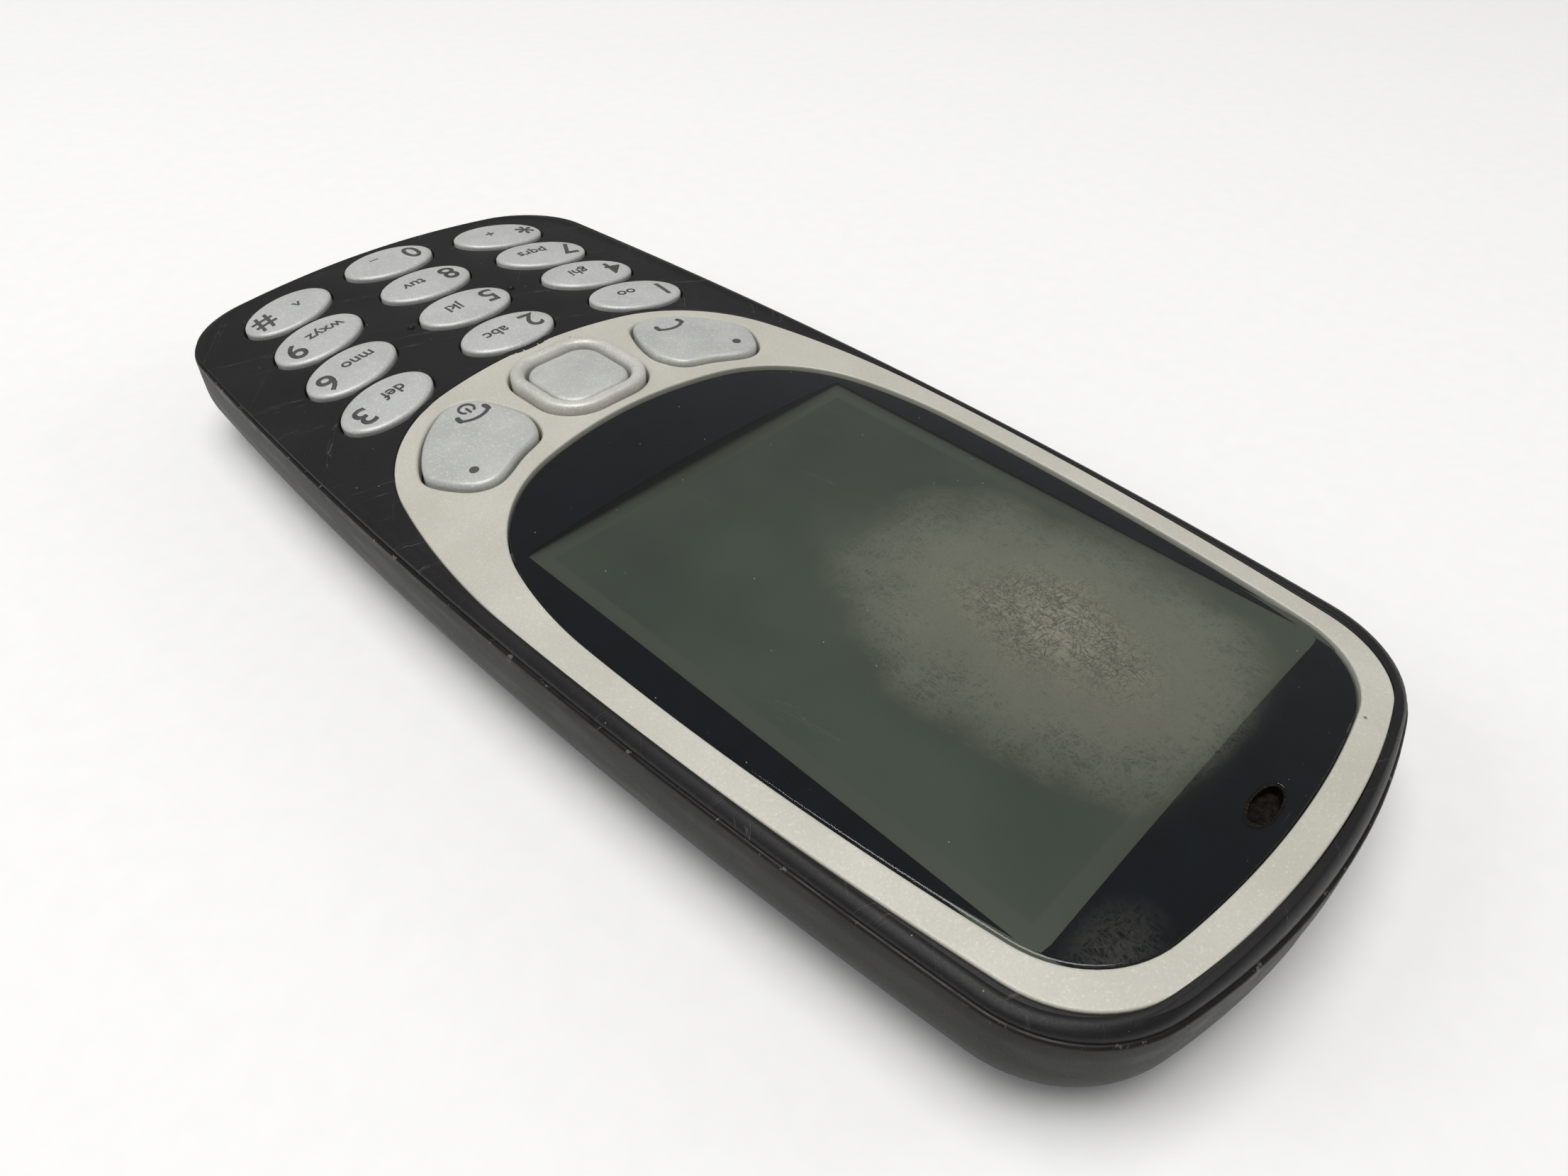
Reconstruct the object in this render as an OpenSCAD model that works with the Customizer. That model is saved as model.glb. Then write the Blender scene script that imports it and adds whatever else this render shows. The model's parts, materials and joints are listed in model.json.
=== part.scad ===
// Handheld keypad phone lying on its back, +Z out of the face, +Y towards the earpiece.
// Origin: centre of the back plane. Millimetres.

/* [Body] */
// Width over the back cover
body_w = 51; // [48:0.5:60]
// Length over the back cover
body_l = 115.6; // [112:0.2:130]
// Height of the face crown above the back
face_h = 12.5; // [12.3:0.1:15]
// How far the back cover stands out beyond the front cover's rim
rim_step = 0.3; // [0.1:0.05:0.6]
// Thickness of the back cover's wall
back_wall = 1.2; // [0.9:0.1:1.3]
// Radius where the back cover's sides turn into the back
back_round = 6.5; // [5:0.1:7]
// Cross radius of the curved face
face_r_cross = 183; // [160:1:260]
// How much lower the face is at the earpiece end than at its crown
face_drop = 0.61; // [0.4:0.01:0.7]
// How much each side draws in towards the earpiece end
top_taper = 3.625; // [3.2:0.005:4]
// How much each side draws in towards the keypad end
low_taper = 2.658; // [2.4:0.002:3]
// Thickness of the front cover over the keypad
front_wall = 1.5; // [1.2:0.1:1.6]
// Height of the front cover's upright edge band
edge_band = 0.4; // [0.3:0.05:0.6]

/* [Bezel ring and window] */
// Width of the bezel ring
ring_w = 48.1; // [46:0.1:48.3]
// Length of the bezel ring
ring_l = 82; // [80:0.5:83]
// Distance from the earpiece end to the bezel ring
ring_gap = 1.5; // [1.4:0.1:2]
// Thickness of the bezel ring
ring_t = 1; // [0.8:0.05:1.1]
// Width of the display window
win_w = 42.7; // [41.5:0.1:43]
// Length of the display window
win_l = 64.5; // [62:0.5:65]
// Distance from the earpiece end to the display window
win_gap = 3.8; // [3.6:0.1:4.4]
// Thickness of the display window
win_t = 0.9; // [0.7:0.05:0.95]
// Width of the ledge under the window
ledge = 0.7; // [0.5:0.05:0.9]

/* [Keypad] */
// Length of a number key
key_l = 10.2; // [9.4:0.1:10.6]
// Strip of cover between two keys of a column
key_web = 0.95; // [0.85:0.05:1.5]
// Height of a key's dome above the face
key_dome = 0.6; // [0.4:0.05:0.7]
// Height of a key's edge above the face
key_edge = 0.2; // [0:0.05:0.3]
// Turn of the outer keys
key_turn = 17; // [0:1:18]
// Row pitch of the number keys
key_pitch = 7.55; // [7.45:0.05:7.6]
// Distance from the keypad end to the lowest middle key
key_first = 5.9; // [5.8:0.05:6.2]
// Sideways place of the highest outer keys
key_col_top = 14.9; // [14.4:0.1:15]
// Sideways place of the lowest outer keys
key_col_low = 13; // [12.6:0.1:13.6]
// How far the outer keys sit above the middle key of their row
key_smile = 2; // [1.4:0.1:2.2]
// Travel of a number key
key_travel = 0.3; // [0.2:0.05:0.35]
// Gap round a key in its hole
key_gap = 0.2; // [0.15:0.05:0.25]

/* [Navigation keys] */
// Width of the scroll ring
scroll_w = 11.3; // [10.6:0.1:11.6]
// Length of the scroll ring
scroll_l = 11.5; // [10.8:0.1:11.8]
// Height of the scroll ring's top above the back
scroll_h = 12.8; // [12.7:0.05:15]
// Width of the centre key
centre_w = 8; // [7:0.1:8.2]
// How far the centre key sits below the scroll ring
centre_drop = 0.5; // [0.3:0.05:0.8]
// Gap round the navigation keys
nav_gap = 0.3; // [0.25:0.05:0.35]
// Distance from the keypad end to the middle of the scroll ring
nav_first = 40; // [39.8:0.1:40.3]
// Tilt of the scroll ring and the rocker keys
nav_tilt = 1.2; // [0.5:0.1:1.4]

/* [Display and inside] */
// Width of the display's picture
lcd_w = 36.7; // [34:0.1:37]
// Length of the display's picture
lcd_l = 48.9; // [46:0.1:49.2]
// Border of the display glass round its picture
lcd_border = 0.9; // [0.6:0.1:1]
// Distance from the earpiece end to the middle of the display
lcd_mid = 34.5; // [34:0.1:35]
// Thickness of the main board
board_t = 0.8; // [0.6:0.1:1]
// Width of the battery
batt_w = 34; // [30:0.5:35]
// Length of the battery
batt_l = 56; // [50:0.5:57]
// Thickness of the battery
batt_t = 4; // [3.4:0.1:4]
// Radius of the headset socket's hole
jack_r = 1.8; // [1.6:0.05:1.9]
// Radius of the chassis screws' shanks
screw_r = 0.7; // [0.5:0.05:0.8]
// Clearance between parts that are fitted together
fit = 0.1; // [0.05:0.01:0.14]

/* [Hidden] */
e = 0.01;
half_l = body_l / 2;
seam_z = face_h - 2.65;
rim_z = seam_z + fit / 2 + edge_band;
face_top_y = 7.6;
face_r_long = pow(half_l - face_top_y, 2) / (2 * face_drop);
widest_y = -1.8;
key_w = key_pitch - key_web;
// Places inside
board_z = face_h - 5.9;
glass_w = lcd_w + 2 * lcd_border;
glass_l = lcd_l + 2 * lcd_border + 1;
lcd_y = half_l - lcd_mid;
glass_top = face_h - 2.5;
frame_z = board_z + board_t + 0.2;
batt_y = -4;
batt_z = back_wall + 0.1;
bay_w = batt_w + 0.6;
bay_l = batt_l + 0.6;
web_z = board_z - 1;
web_t = 0.8;
cam_y = half_l - 11.5;
speak_x = -13;
speak_y = cam_y - 0.3;
motor_x = 12;
flash_x = 5.8;
usb_y = half_l - back_wall - 0.3;
jack_x = -12;
jack_z = board_z + board_t - 2.45;
jack_y = -half_l + back_wall + 1;
can_y = batt_y + batt_l / 2 + 9.2;

// An outline is a closed chain of ten tangent arcs, mirrored left to right:
// [width, low end, high end, widest place, end radius, corner radius,
//  upper side radius, lower side radius, low corner radius, low end radius]
back_o = [body_w, -half_l, half_l, widest_y, 59, 10.3,
    pow(half_l - widest_y, 2) / (2 * top_taper), pow(half_l + widest_y, 2) / (2 * low_taper), 9.3, 119];
ring_hi = half_l - ring_gap;
ring_o = [ring_w, ring_hi - ring_l, ring_hi, ring_hi - 52.1, 66, 9.1, 315, 72, 15, 50];
win_hi = half_l - win_gap;
win_o = [win_w, win_hi - win_l, win_hi, win_hi - 43.5, 68, 8.2, 260, 39, 13.7, 42];
rim_o = grow(back_o, -rim_step);

// The same chain of arcs moved outwards by d
function grow(o, d) = [o[0] + 2 * d, o[1] - d, o[2] + d, o[3],
    o[4] + d, o[5] + d, o[6] + d, o[7] + d, o[8] + d, o[9] + d];
// The meeting point of two circles, the upper one for side 1 and the lower one for side -1
function meet(c0, r0, c1, r1, side) =
    let(d = c1 - c0, n = norm(d), a = (r0 * r0 - r1 * r1 + n * n) / (2 * n), h = sqrt(r0 * r0 - a * a),
        m = c0 + a * d / n, p = [-d[1], d[0]] / n, q = m + h * p, s = m - h * p)
    side * q[1] > side * s[1] ? q : s;
function unit(v) = v / norm(v);
function flip(p) = [-p[0], p[1]];
// The ten arcs as [centre, radius, first point, last point], turning anticlockwise
function arcs(o) =
    let(w = o[0] / 2, ct = [0, o[2] - o[4]], cb = [0, o[1] + o[9]], cs = [w - o[6], o[3]], cl = [w - o[7], o[3]],
        c1 = meet(ct, o[4] - o[5], cs, o[6] - o[5], 1), c2 = meet(cb, o[9] - o[8], cl, o[7] - o[8], -1),
        p1 = ct + unit(c1 - ct) * o[4], p2 = cs + unit(c1 - cs) * o[6], p3 = [w, o[3]],
        p4 = cl + unit(c2 - cl) * o[7], p5 = cb + unit(c2 - cb) * o[9])
    [[ct, o[4], p1, flip(p1)],
     [flip(c1), o[5], flip(p1), flip(p2)],
     [flip(cs), o[6], flip(p2), flip(p3)],
     [flip(cl), o[7], flip(p3), flip(p4)],
     [flip(c2), o[8], flip(p4), flip(p5)],
     [cb, o[9], flip(p5), p5],
     [c2, o[8], p5, p4],
     [cl, o[7], p4, p3],
     [cs, o[6], p3, p2],
     [c1, o[5], p2, p1]];

// Points along an arc, leaving out its last
function arc_points(k) =
    let(v = k[2] - k[0], w = k[3] - k[0], a0 = atan2(v[1], v[0]), a1 = atan2(w[1], w[0]),
        turn = a1 < a0 ? a1 + 360 - a0 : a1 - a0, n = 2 * max(2, ceil(turn / 12)))
    [for (i = [0:n - 1]) k[0] + k[1] * [cos(a0 + turn * i / n), sin(a0 + turn * i / n)]];
module flat(o) {
    polygon([for (k = arcs(o)) each arc_points(k)]);
}
module prism(o, z0, z1) {
    translate([0, 0, z0]) linear_extrude(z1 - z0) flat(o);
}
// A section whose lower corners are rounded by r, carried along X or Y
module trough(w, r, z0, z1, len) {
    translate([0, len / 2, 0]) rotate([90, 0, 0]) linear_extrude(len) polygon(concat(
        [for (a = [0:15:90]) [-w / 2 + r - r * cos(a), z0 + r - r * sin(a)]],
        [for (a = [90:-15:0]) [w / 2 - r + r * cos(a), z0 + r - r * sin(a)]],
        [[w / 2, z1], [-w / 2, z1]]));
}
// A closed slab whose lower edge is rounded by r
module tub(o, r, z0, z1) {
    intersection() {
        prism(o, z0, z1);
        trough(o[0], r, z0, z1, 2 * body_l);
        rotate([0, 0, 90]) trough(o[2] - o[1], r, z0, z1, 2 * body_w);
    }
}
// Everything under the curved face, lowered by d: flat-sided logs, each laid along the face at its own station
face_step = 0.45 * half_l;
module under_face(d) {
    r = face_r_cross;
    intersection_for (k = [-2:2])
        translate([0, face_top_y + k * face_step, face_h - d - pow(k * face_step, 2) / (2 * face_r_long)])
            rotate([90 - atan(k * face_step / face_r_long), 0, 0])
                translate([0, 0, -130]) linear_extrude(260)
                    polygon(concat([[-33, -16], [33, -16]], [for (x = [33:-5.5:-33]) [x, sqrt(r * r - x * x) - r]]));
}
// Height of the face at a place
function face_z(x, y) = face_h - face_r_cross + sqrt(face_r_cross * face_r_cross - x * x)
    - face_r_long + sqrt(face_r_long * face_r_long - (y - face_top_y) * (y - face_top_y));
// The children set square on the face at a place
module at_face(p) {
    translate([p[0], p[1], face_z(p[0], p[1])])
        rotate([asin((face_top_y - p[1]) / face_r_long), asin(p[0] / face_r_cross), 0]) children();
}
module cube_at(c, s) {
    translate([c[0] - s[0] / 2, c[1] - s[1] / 2, c[2]]) cube(s);
}
module round_rect(w, l, r) {
    square([w - 2 * r, l], center = true);
    square([w, l - 2 * r], center = true);
    for (x = [-1, 1], y = [-1, 1]) translate([x * (w / 2 - r), y * (l / 2 - r)]) circle(r = r, $fn = 48);
}
module oval(w, l) {
    polygon([for (a = [0:10:350]) [w / 2 * cos(a), l / 2 * sin(a)]]);
}

// Number keys
key_y = [for (k = [3:-1:0]) -half_l + key_first + k * key_pitch];
function key_x(row) = key_col_top + (key_col_low - key_col_top) * row / 3;
function key_at(row, col) = [col * key_x(row), key_y[row] + (col == 0 ? 0 : key_smile)];
module key_place(row, col) {
    at_face(key_at(row, col)) rotate([0, 0, key_turn * col]) children();
}
flange_top = front_wall + fit;
module key_cap() {
    translate([0, 0, -flange_top]) linear_extrude(flange_top + key_edge) oval(key_l, key_w);
    translate([0, 0, key_edge - e]) linear_extrude((key_dome - key_edge) * 0.6, scale = 0.8) oval(key_l, key_w);
    translate([0, 0, key_edge + (key_dome - key_edge) * 0.6 - 2 * e])
        linear_extrude((key_dome - key_edge) * 0.4, scale = 0.55) oval(key_l * 0.8, key_w * 0.8);
    translate([0, 0, -flange_top - 0.4]) linear_extrude(0.4 + e) oval(key_l + 1.6, key_w + 0.2);
    translate([0, 0, -flange_top - 0.8]) cylinder(r = 1.5, h = 0.5, $fn = 48);
}
module key(row, col) {
    color("lightgray") key_place(row, col) key_cap();
}
module key_holes() {
    for (row = [0:3], col = [-1:1]) key_place(row, col) {
        translate([0, 0, -4]) linear_extrude(6) oval(key_l + 2 * key_gap, key_w + 2 * key_gap);
        translate([0, 0, -4]) linear_extrude(4 - front_wall)
            oval(key_l + 1.6 + 2 * key_gap, key_w + 0.2 + 2 * key_gap);
    }
}

// Navigation keys
nav_y = -half_l + nav_first;
nav_z = face_z(0, nav_y);
nav_plate = ring_t + 0.9;
rocker_at = [13.2, nav_y + 1.7];
// Corners of the right-hand rocker from its middle, each with its rounding
rocker_pts = [[-6.2, 3.5], [2.4, 7.2], [6.8, 1.2], [2.2, -5.2], [-3.3, -7.2]];
rocker_rs = [1.6, 2.2, 1.8, 4.5, 2.2];
module rounded(pts, rs) {
    n = len(pts);
    function far(i, j) = unit(pts[j % n] - pts[i]);
    function lean(i) = let(u = far(i, i + n - 1), v = far(i, i + 1)) acos(u * v) / 2;
    function turn(i) = let(u = -far(i, i + n - 1)) atan2(u[1], u[0]);
    polygon([for (i = [0:n - 1])
        let(mid = pts[i] + unit(far(i, i + n - 1) + far(i, i + 1)) * rs[i] / sin(lean(i)), whole = 180 - 2 * lean(i))
        for (k = [0:6]) mid + rs[i] * [cos(turn(i) + 90 - whole * k / 6), sin(turn(i) + 90 - whole * k / 6)]]);
}
module rocker_shape(side, more) {
    mirror([side < 0 ? 1 : 0, 0])
        rounded([for (i = [0:4]) rocker_pts[i] + unit(rocker_pts[i]) * more * 1.35], [for (r = rocker_rs) r + more]);
}
module rocker_place(side) {
    at_face([side * rocker_at[0], rocker_at[1]]) children();
}
module rocker(side) {
    color("silver") rocker_place(side) {
        translate([0, 0, -nav_plate - 0.35]) linear_extrude(nav_plate + 0.35 + 0.45) rocker_shape(side, 0);
        translate([0, 0, -nav_plate - 0.7]) linear_extrude(0.4) rocker_shape(side, 0.7);
        translate([-2, 0, -nav_plate - 0.95]) rotate([0, 90, 0]) cylinder(r = 0.35, h = 4, $fn = 48);
    }
}
module nav_holes() {
    translate([0, nav_y, 8]) linear_extrude(6) round_rect(scroll_w + 2 * nav_gap, scroll_l + 2 * nav_gap, 4.3);
    for (side = [-1, 1]) rocker_place(side) translate([0, 0, -4]) linear_extrude(6) rocker_shape(side, nav_gap);
}
scroll_low = nav_z - nav_plate - 0.45;
scroll_hole = centre_w + 2 * nav_gap;
module scroll_ring() {
    color("gainsboro") translate([0, nav_y, 0]) difference() {
        union() {
            translate([0, 0, scroll_low]) linear_extrude(scroll_h - 0.35 - scroll_low)
                round_rect(scroll_w, scroll_l, 4);
            translate([0, 0, scroll_low]) linear_extrude(scroll_h - scroll_low)
                round_rect(scroll_w - 0.9, scroll_l - 0.9, 3.6);
            translate([0, 0, scroll_low - 0.4]) linear_extrude(0.4 + e) round_rect(scroll_w + 1.6, scroll_l + 1.6, 4.8);
        }
        translate([0, 0, scroll_low - 1]) linear_extrude(5) round_rect(scroll_hole, scroll_hole, 2.5);
    }
}
gimbal_top = scroll_low - 0.65;
module scroll_gimbal() {
    color("dimgray") translate([0, nav_y, gimbal_top - 0.4]) linear_extrude(0.4) difference() {
        round_rect(scroll_w + 1.6, scroll_l + 1.6, 4.8);
        round_rect(scroll_w - 0.6, scroll_l - 0.6, 3);
    }
}
module centre_key() {
    color("silver") translate([0, nav_y, 0]) {
        translate([0, 0, scroll_low - 0.5]) linear_extrude(scroll_h - centre_drop - scroll_low + 0.5)
            round_rect(centre_w, centre_w, 2.2);
        translate([0, 0, scroll_low - 1.1]) linear_extrude(0.4) round_rect(centre_w + 1.6, centre_w + 1.6, 2.6);
        translate([0, 0, scroll_low - 0.8]) linear_extrude(0.4) round_rect(centre_w, centre_w, 2.2);
    }
}

// Front shell
pocket_floor = ring_t + 0.9;
hear_y = win_hi - 1.9;
screw_y = key_at(0, 1)[1] - key_pitch / 2;
screw_pts = [[12.2, half_l - 5.3], [-12.2, half_l - 5.3], [21, screw_y], [-21, screw_y]];
boss_r = 1.2;
// Thickness of the front cover's plate at a place
function plate(y) = y < ring_o[1] - 0.8 ? front_wall : pocket_floor;
// Height at which a screw boss has run into the cover
function boss_top(p) = max(face_z(p[0], p[1]) - plate(p[1]) + 0.3, seam_z + 0.35);
module front_cover() {
    color("#35363a") difference() {
        intersection() {
            under_face(0);
            union() {
                prism(rim_o, seam_z + fit / 2, rim_z);
                prism(grow(rim_o, -0.3), rim_z - 0.1, rim_z + 0.5);
                prism(grow(rim_o, -0.8), rim_z - 0.1, face_h + 1);
            }
        }
        // hollow under the plate
        intersection() {
            under_face(front_wall);
            prism(grow(rim_o, -1.2), seam_z - 1, face_h + 1);
            translate([-30, ring_o[1] - 0.8 - 60, 0]) cube([60, 60, 20]);
        }
        intersection() {
            under_face(pocket_floor);
            prism(grow(rim_o, -1.2), seam_z - 1, face_h + 1);
        }
        // seat of the bezel ring and the window
        difference() {
            prism(grow(ring_o, fit / 2), 8, face_h + 1);
            under_face(ring_t);
        }
        difference() {
            prism(grow(win_o, -ledge), 8, face_h + 1);
            translate([0, ring_o[1] - 20, 0]) cube([60, 20, 20]);
        }
        cube_at([0, lcd_y, 6], [glass_w + 0.6, glass_l + 0.6, 8]);
        key_holes();
        nav_holes();
    }
    color("#35363a") for (p = screw_pts) translate([p[0], p[1], 0]) difference() {
        translate([0, 0, board_z + board_t + fit])
            cylinder(r = boss_r, h = boss_top(p) - board_z - board_t - fit, $fn = 48);
        translate([0, 0, 5]) cylinder(r = screw_r + 0.05, h = boss_top(p) - 5.5, $fn = 48);
    }
}
module bezel_ring() {
    color("#c8c6b8") difference() {
        intersection() {
            under_face(0);
            prism(ring_o, 8, face_h + 1);
        }
        under_face(ring_t);
        prism(grow(win_o, 0.15), 6, face_h + 2);
        nav_holes();
    }
}
module display_window() {
    color("#10161c") difference() {
        intersection() {
            under_face(ring_t - win_t);
            prism(win_o, 8, face_h + 1);
        }
        under_face(ring_t);
        translate([0, hear_y, 6]) linear_extrude(10) oval(4, 1.8);
    }
}
module window_gasket() {
    color("black") difference() {
        cube_at([0, lcd_y, glass_top - 0.6], [glass_w + 0.9, glass_l + 0.9, 0.4]);
        cube_at([0, lcd_y, glass_top - 1], [glass_w + 2 * fit, glass_l + 2 * fit, 3]);
    }
}
module earpiece_mesh() {
    color("#5a5247") translate([0, hear_y, face_z(0, hear_y) - ring_t - 0.35]) linear_extrude(0.3) oval(4.8, 2);
}

// Display stack
module display_panel() {
    color("#3e453c") cube_at([0, lcd_y, glass_top - 1], [glass_w, glass_l, 1]);
}
module display_frame() {
    color("#d8dadc") difference() {
        cube_at([0, lcd_y, frame_z], [glass_w + 0.6, glass_l + 0.6, glass_top - 1 - frame_z]);
        cube_at([0, lcd_y, frame_z + 0.5], [glass_w - 1.6, glass_l - 1.6, 3]);
    }
}
module display_flex() {
    color("#b5702a") cube_at([0, lcd_y - glass_l / 2 - 3.6, board_z + board_t + 0.02], [18, 5.6, 0.15]);
}

// Boards and electronics
module main_board() {
    color("#1f5a3a") difference() {
        prism(grow(back_o, -back_wall - 1.6), board_z, board_z + board_t);
        cube_at([jack_x, jack_y + 6.4, board_z - 1], [7, 12.6, 4]);
        cube_at([0, cam_y, board_z - 1], [7.4, 7.4, 4]);
        for (p = screw_pts) translate([p[0], p[1], 0]) cylinder(r = screw_r + 0.4, h = 20, $fn = 48);
    }
}
module keypad_mat() {
    color("#50565c") translate([0, 0, board_z + board_t + 0.35]) difference() {
        linear_extrude(0.5) intersection() {
            flat(grow(back_o, -back_wall - 2.4));
            translate([-30, -70]) square([60, 70 + lcd_y - glass_l / 2 - 1.6]);
        }
        for (p = screw_pts) translate([p[0], p[1], -1]) cylinder(r = 1.6, h = 3, $fn = 48);
        translate([0, lcd_y - glass_l / 2 - 3.6, -1]) linear_extrude(3) square([18.6, 6], center = true);
    }
}
module dome_sheet() {
    color("#c9ccd0") {
        translate([0, 0, board_z + board_t]) difference() {
            linear_extrude(0.1) intersection() {
                flat(grow(back_o, -back_wall - 3.2));
                translate([-30, -70]) square([60, 70 + nav_y + 8.6]);
            }
            for (p = screw_pts) translate([p[0], p[1], -1]) cylinder(r = 1.6, h = 3, $fn = 48);
        }
        for (row = [0:3], col = [-1:1]) translate([key_at(row, col)[0], key_at(row, col)[1], board_z + board_t])
            cylinder(r1 = 2, r2 = 1.4, h = 0.28, $fn = 48);
        for (p = [[0, 0], [0, 5.4], [0, -5.4], [5.4, 0], [-5.4, 0], [13, -3], [13, 5], [-13, -3], [-13, 5]])
            translate([p[0], nav_y + p[1], board_z + board_t]) cylinder(r1 = 2, r2 = 1.4, h = 0.28, $fn = 48);
    }
}
module earpiece_speaker() {
    color("#2b2b2e") cube_at([0, lcd_y + glass_l / 2 + 3.2, board_z + board_t], [12, 4.6, 1.5]);
}
module microphone() {
    color("#b9b49a") cube_at([8, -half_l + back_wall + 4, board_z - 1.1], [3.8, 3, 1.1]);
}
module shield_can(side) {
    color("#bfc3c7") difference() {
        cube_at([side * 11.4, can_y, board_z - 1.8], [13, 9, 1.8]);
        cube_at([side * 11.4, can_y, board_z - 1.6], [12.6, 8.6, 2]);
    }
}
module shield_can_left() shield_can(-1);
module shield_can_right() shield_can(1);
module card_holder(x, y, w, l) {
    color("#cdd0d3") difference() {
        cube_at([x, y, board_z - 1.1], [w, l, 1.1]);
        translate([x - w / 2 + 0.8, y - l / 2 - 1, board_z - 0.95]) cube([w - 1.6, l, 0.8]);
    }
}
module sim_holder_one() card_holder(-8.6, batt_y - 12, 14, 12);
module sim_holder_two() card_holder(-8.6, batt_y + 4, 14, 12);
module memory_card_holder() card_holder(8.6, batt_y + 4, 13, 14);
module usb_socket() {
    color("#c4c7ca") difference() {
        cube_at([0, usb_y - 2.7, board_z - 2.7], [7.6, 5.4, 2.7]);
        cube_at([0, usb_y - 2.2, board_z - 2.3], [6.9, 5.4, 1.85]);
    }
    color("#202020") cube_at([0, usb_y - 2.9, board_z - 1.3], [4, 4, 0.5]);
}
module headset_socket() {
    color("#26262a") difference() {
        union() {
            cube_at([jack_x, jack_y + 6.6, jack_z - 2.4], [6, 11, 4.8]);
            translate([jack_x, jack_y, jack_z]) rotate([-90, 0, 0]) cylinder(r = 2.4, h = 2, $fn = 64);
        }
        translate([jack_x, jack_y - 1, jack_z]) rotate([-90, 0, 0]) cylinder(r = jack_r, h = 12, $fn = 64);
    }
}

// Battery
module battery() {
    color("#2a2c30") translate([0, batt_y, batt_z]) linear_extrude(batt_t) round_rect(batt_w, batt_l, 1.2);
}
module battery_label() {
    color("#e8e6df") cube_at([0, batt_y, batt_z + batt_t], [batt_w - 6, batt_l - 10, 0.05]);
}
module battery_terminals() {
    color("#d9b35a") for (x = [-3.4, 0, 3.4])
        cube_at([x + 8, batt_y + batt_l / 2 + 0.05, batt_z + 1.6], [1.8, 0.1, 1.4]);
}
module battery_contacts() {
    y = batt_y + batt_l / 2 + 0.9;
    color("#1d1d20") cube_at([8, y + 1.3, board_z - 3.6], [11, 2, 3.6]);
    color("#d9b35a") for (x = [-3.4, 0, 3.4])
        translate([8 + x - 0.5, y - 0.45, batt_z + 2.3]) rotate([0, 90, 0]) cylinder(r = 0.3, h = 1, $fn = 24);
    color("#d9b35a") for (x = [-3.4, 0, 3.4]) cube_at([8 + x, y, batt_z + 2.1], [1, 0.9, 0.4]);
}

// Chassis between the covers
chassis_o = grow(back_o, -back_wall - 0.15);
module chassis() {
    color("#202226") difference() {
        union() {
            difference() {
                prism(chassis_o, web_z, seam_z);
                prism(grow(chassis_o, -1), web_z + web_t, seam_z + 1);
            }
            translate([0, batt_y, back_wall + 0.8]) linear_extrude(web_z - back_wall - 0.7)
                round_rect(bay_w + 2, bay_l + 2, 1.6);
            for (p = screw_pts) translate([p[0], p[1], web_z]) cylinder(r = 2, h = board_z - web_z, $fn = 48);
        }
        translate([0, batt_y, 0]) linear_extrude(batt_z + batt_t + 0.15) round_rect(bay_w, bay_l, 1.2);
        // windows in the web for the card holders, contacts, cans, camera and sockets
        cube_at([-8.6, batt_y - 4, 2], [15, 29, 6]);
        cube_at([8.6, batt_y + 4, 2], [14, 15, 6]);
        cube_at([8, batt_y + batt_l / 2 + 1.6, 0], [12, 4, 8]);
        cube_at([0, can_y, 0], [37, 10, 8]);
        cube_at([0, cam_y, 0], [8, 8, 8]);
        cube_at([0, usb_y - 2.7, 0], [8, 6.6, board_z]);
        cube_at([jack_x, jack_y + 6, 0], [6.6, 13, board_z + 1]);
        cube_at([8, -half_l + back_wall + 4, 2], [4.4, 3.6, 8]);
        cube_at([speak_x, speak_y, 0], [15.6, 8.6, board_z - 0.6]);
        cube_at([motor_x, cam_y, 0], [8.8, 8.8, board_z - 0.6]);
        for (p = screw_pts) translate([p[0], p[1], 0]) cylinder(r = screw_r + 0.1, h = 20, $fn = 48);
        for (p = screw_pts) translate([p[0], p[1], 0]) cylinder(r = 1.5, h = web_z + 0.2, $fn = 48);
    }
}
module chassis_screws() {
    color("#9a9da1") for (p = screw_pts) translate([p[0], p[1], 0]) {
        translate([0, 0, web_z - 0.5]) cylinder(r = 1.3, h = 0.7, $fn = 48);
        translate([0, 0, web_z]) cylinder(r = screw_r, h = seam_z - 0.35 - web_z, $fn = 48);
    }
}
module loudspeaker() {
    color("#303236") cube_at([speak_x, speak_y, back_wall + 1.2], [15, 8, board_z - 1 - back_wall - 1.2]);
}
module buzz_motor() {
    color("#a9adb1") translate([motor_x, cam_y, board_z - 3.6]) cylinder(r = 4, h = 2.8, $fn = 64);
}
module camera_module() {
    color("#1c1c20") difference() {
        union() {
            cube_at([0, cam_y, 2.6], [6.5, 6.5, board_z + 0.4 - 2.6]);
            translate([0, cam_y, 1.7]) cylinder(r = 2.6, h = 2, $fn = 64);
        }
        translate([0, cam_y, 1]) cylinder(r = 1.4, h = 1.6, $fn = 64);
    }
}
module flash_lamp() {
    color("#e9d36b") cube_at([flash_x, cam_y - 1, board_z - 2.2], [1.6, 1.6, 1]);
}
module antenna() {
    color("#b08a3c") cube_at([4, -half_l + 13, web_z - 1.8], [22, 9, 1.8]);
}

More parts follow.
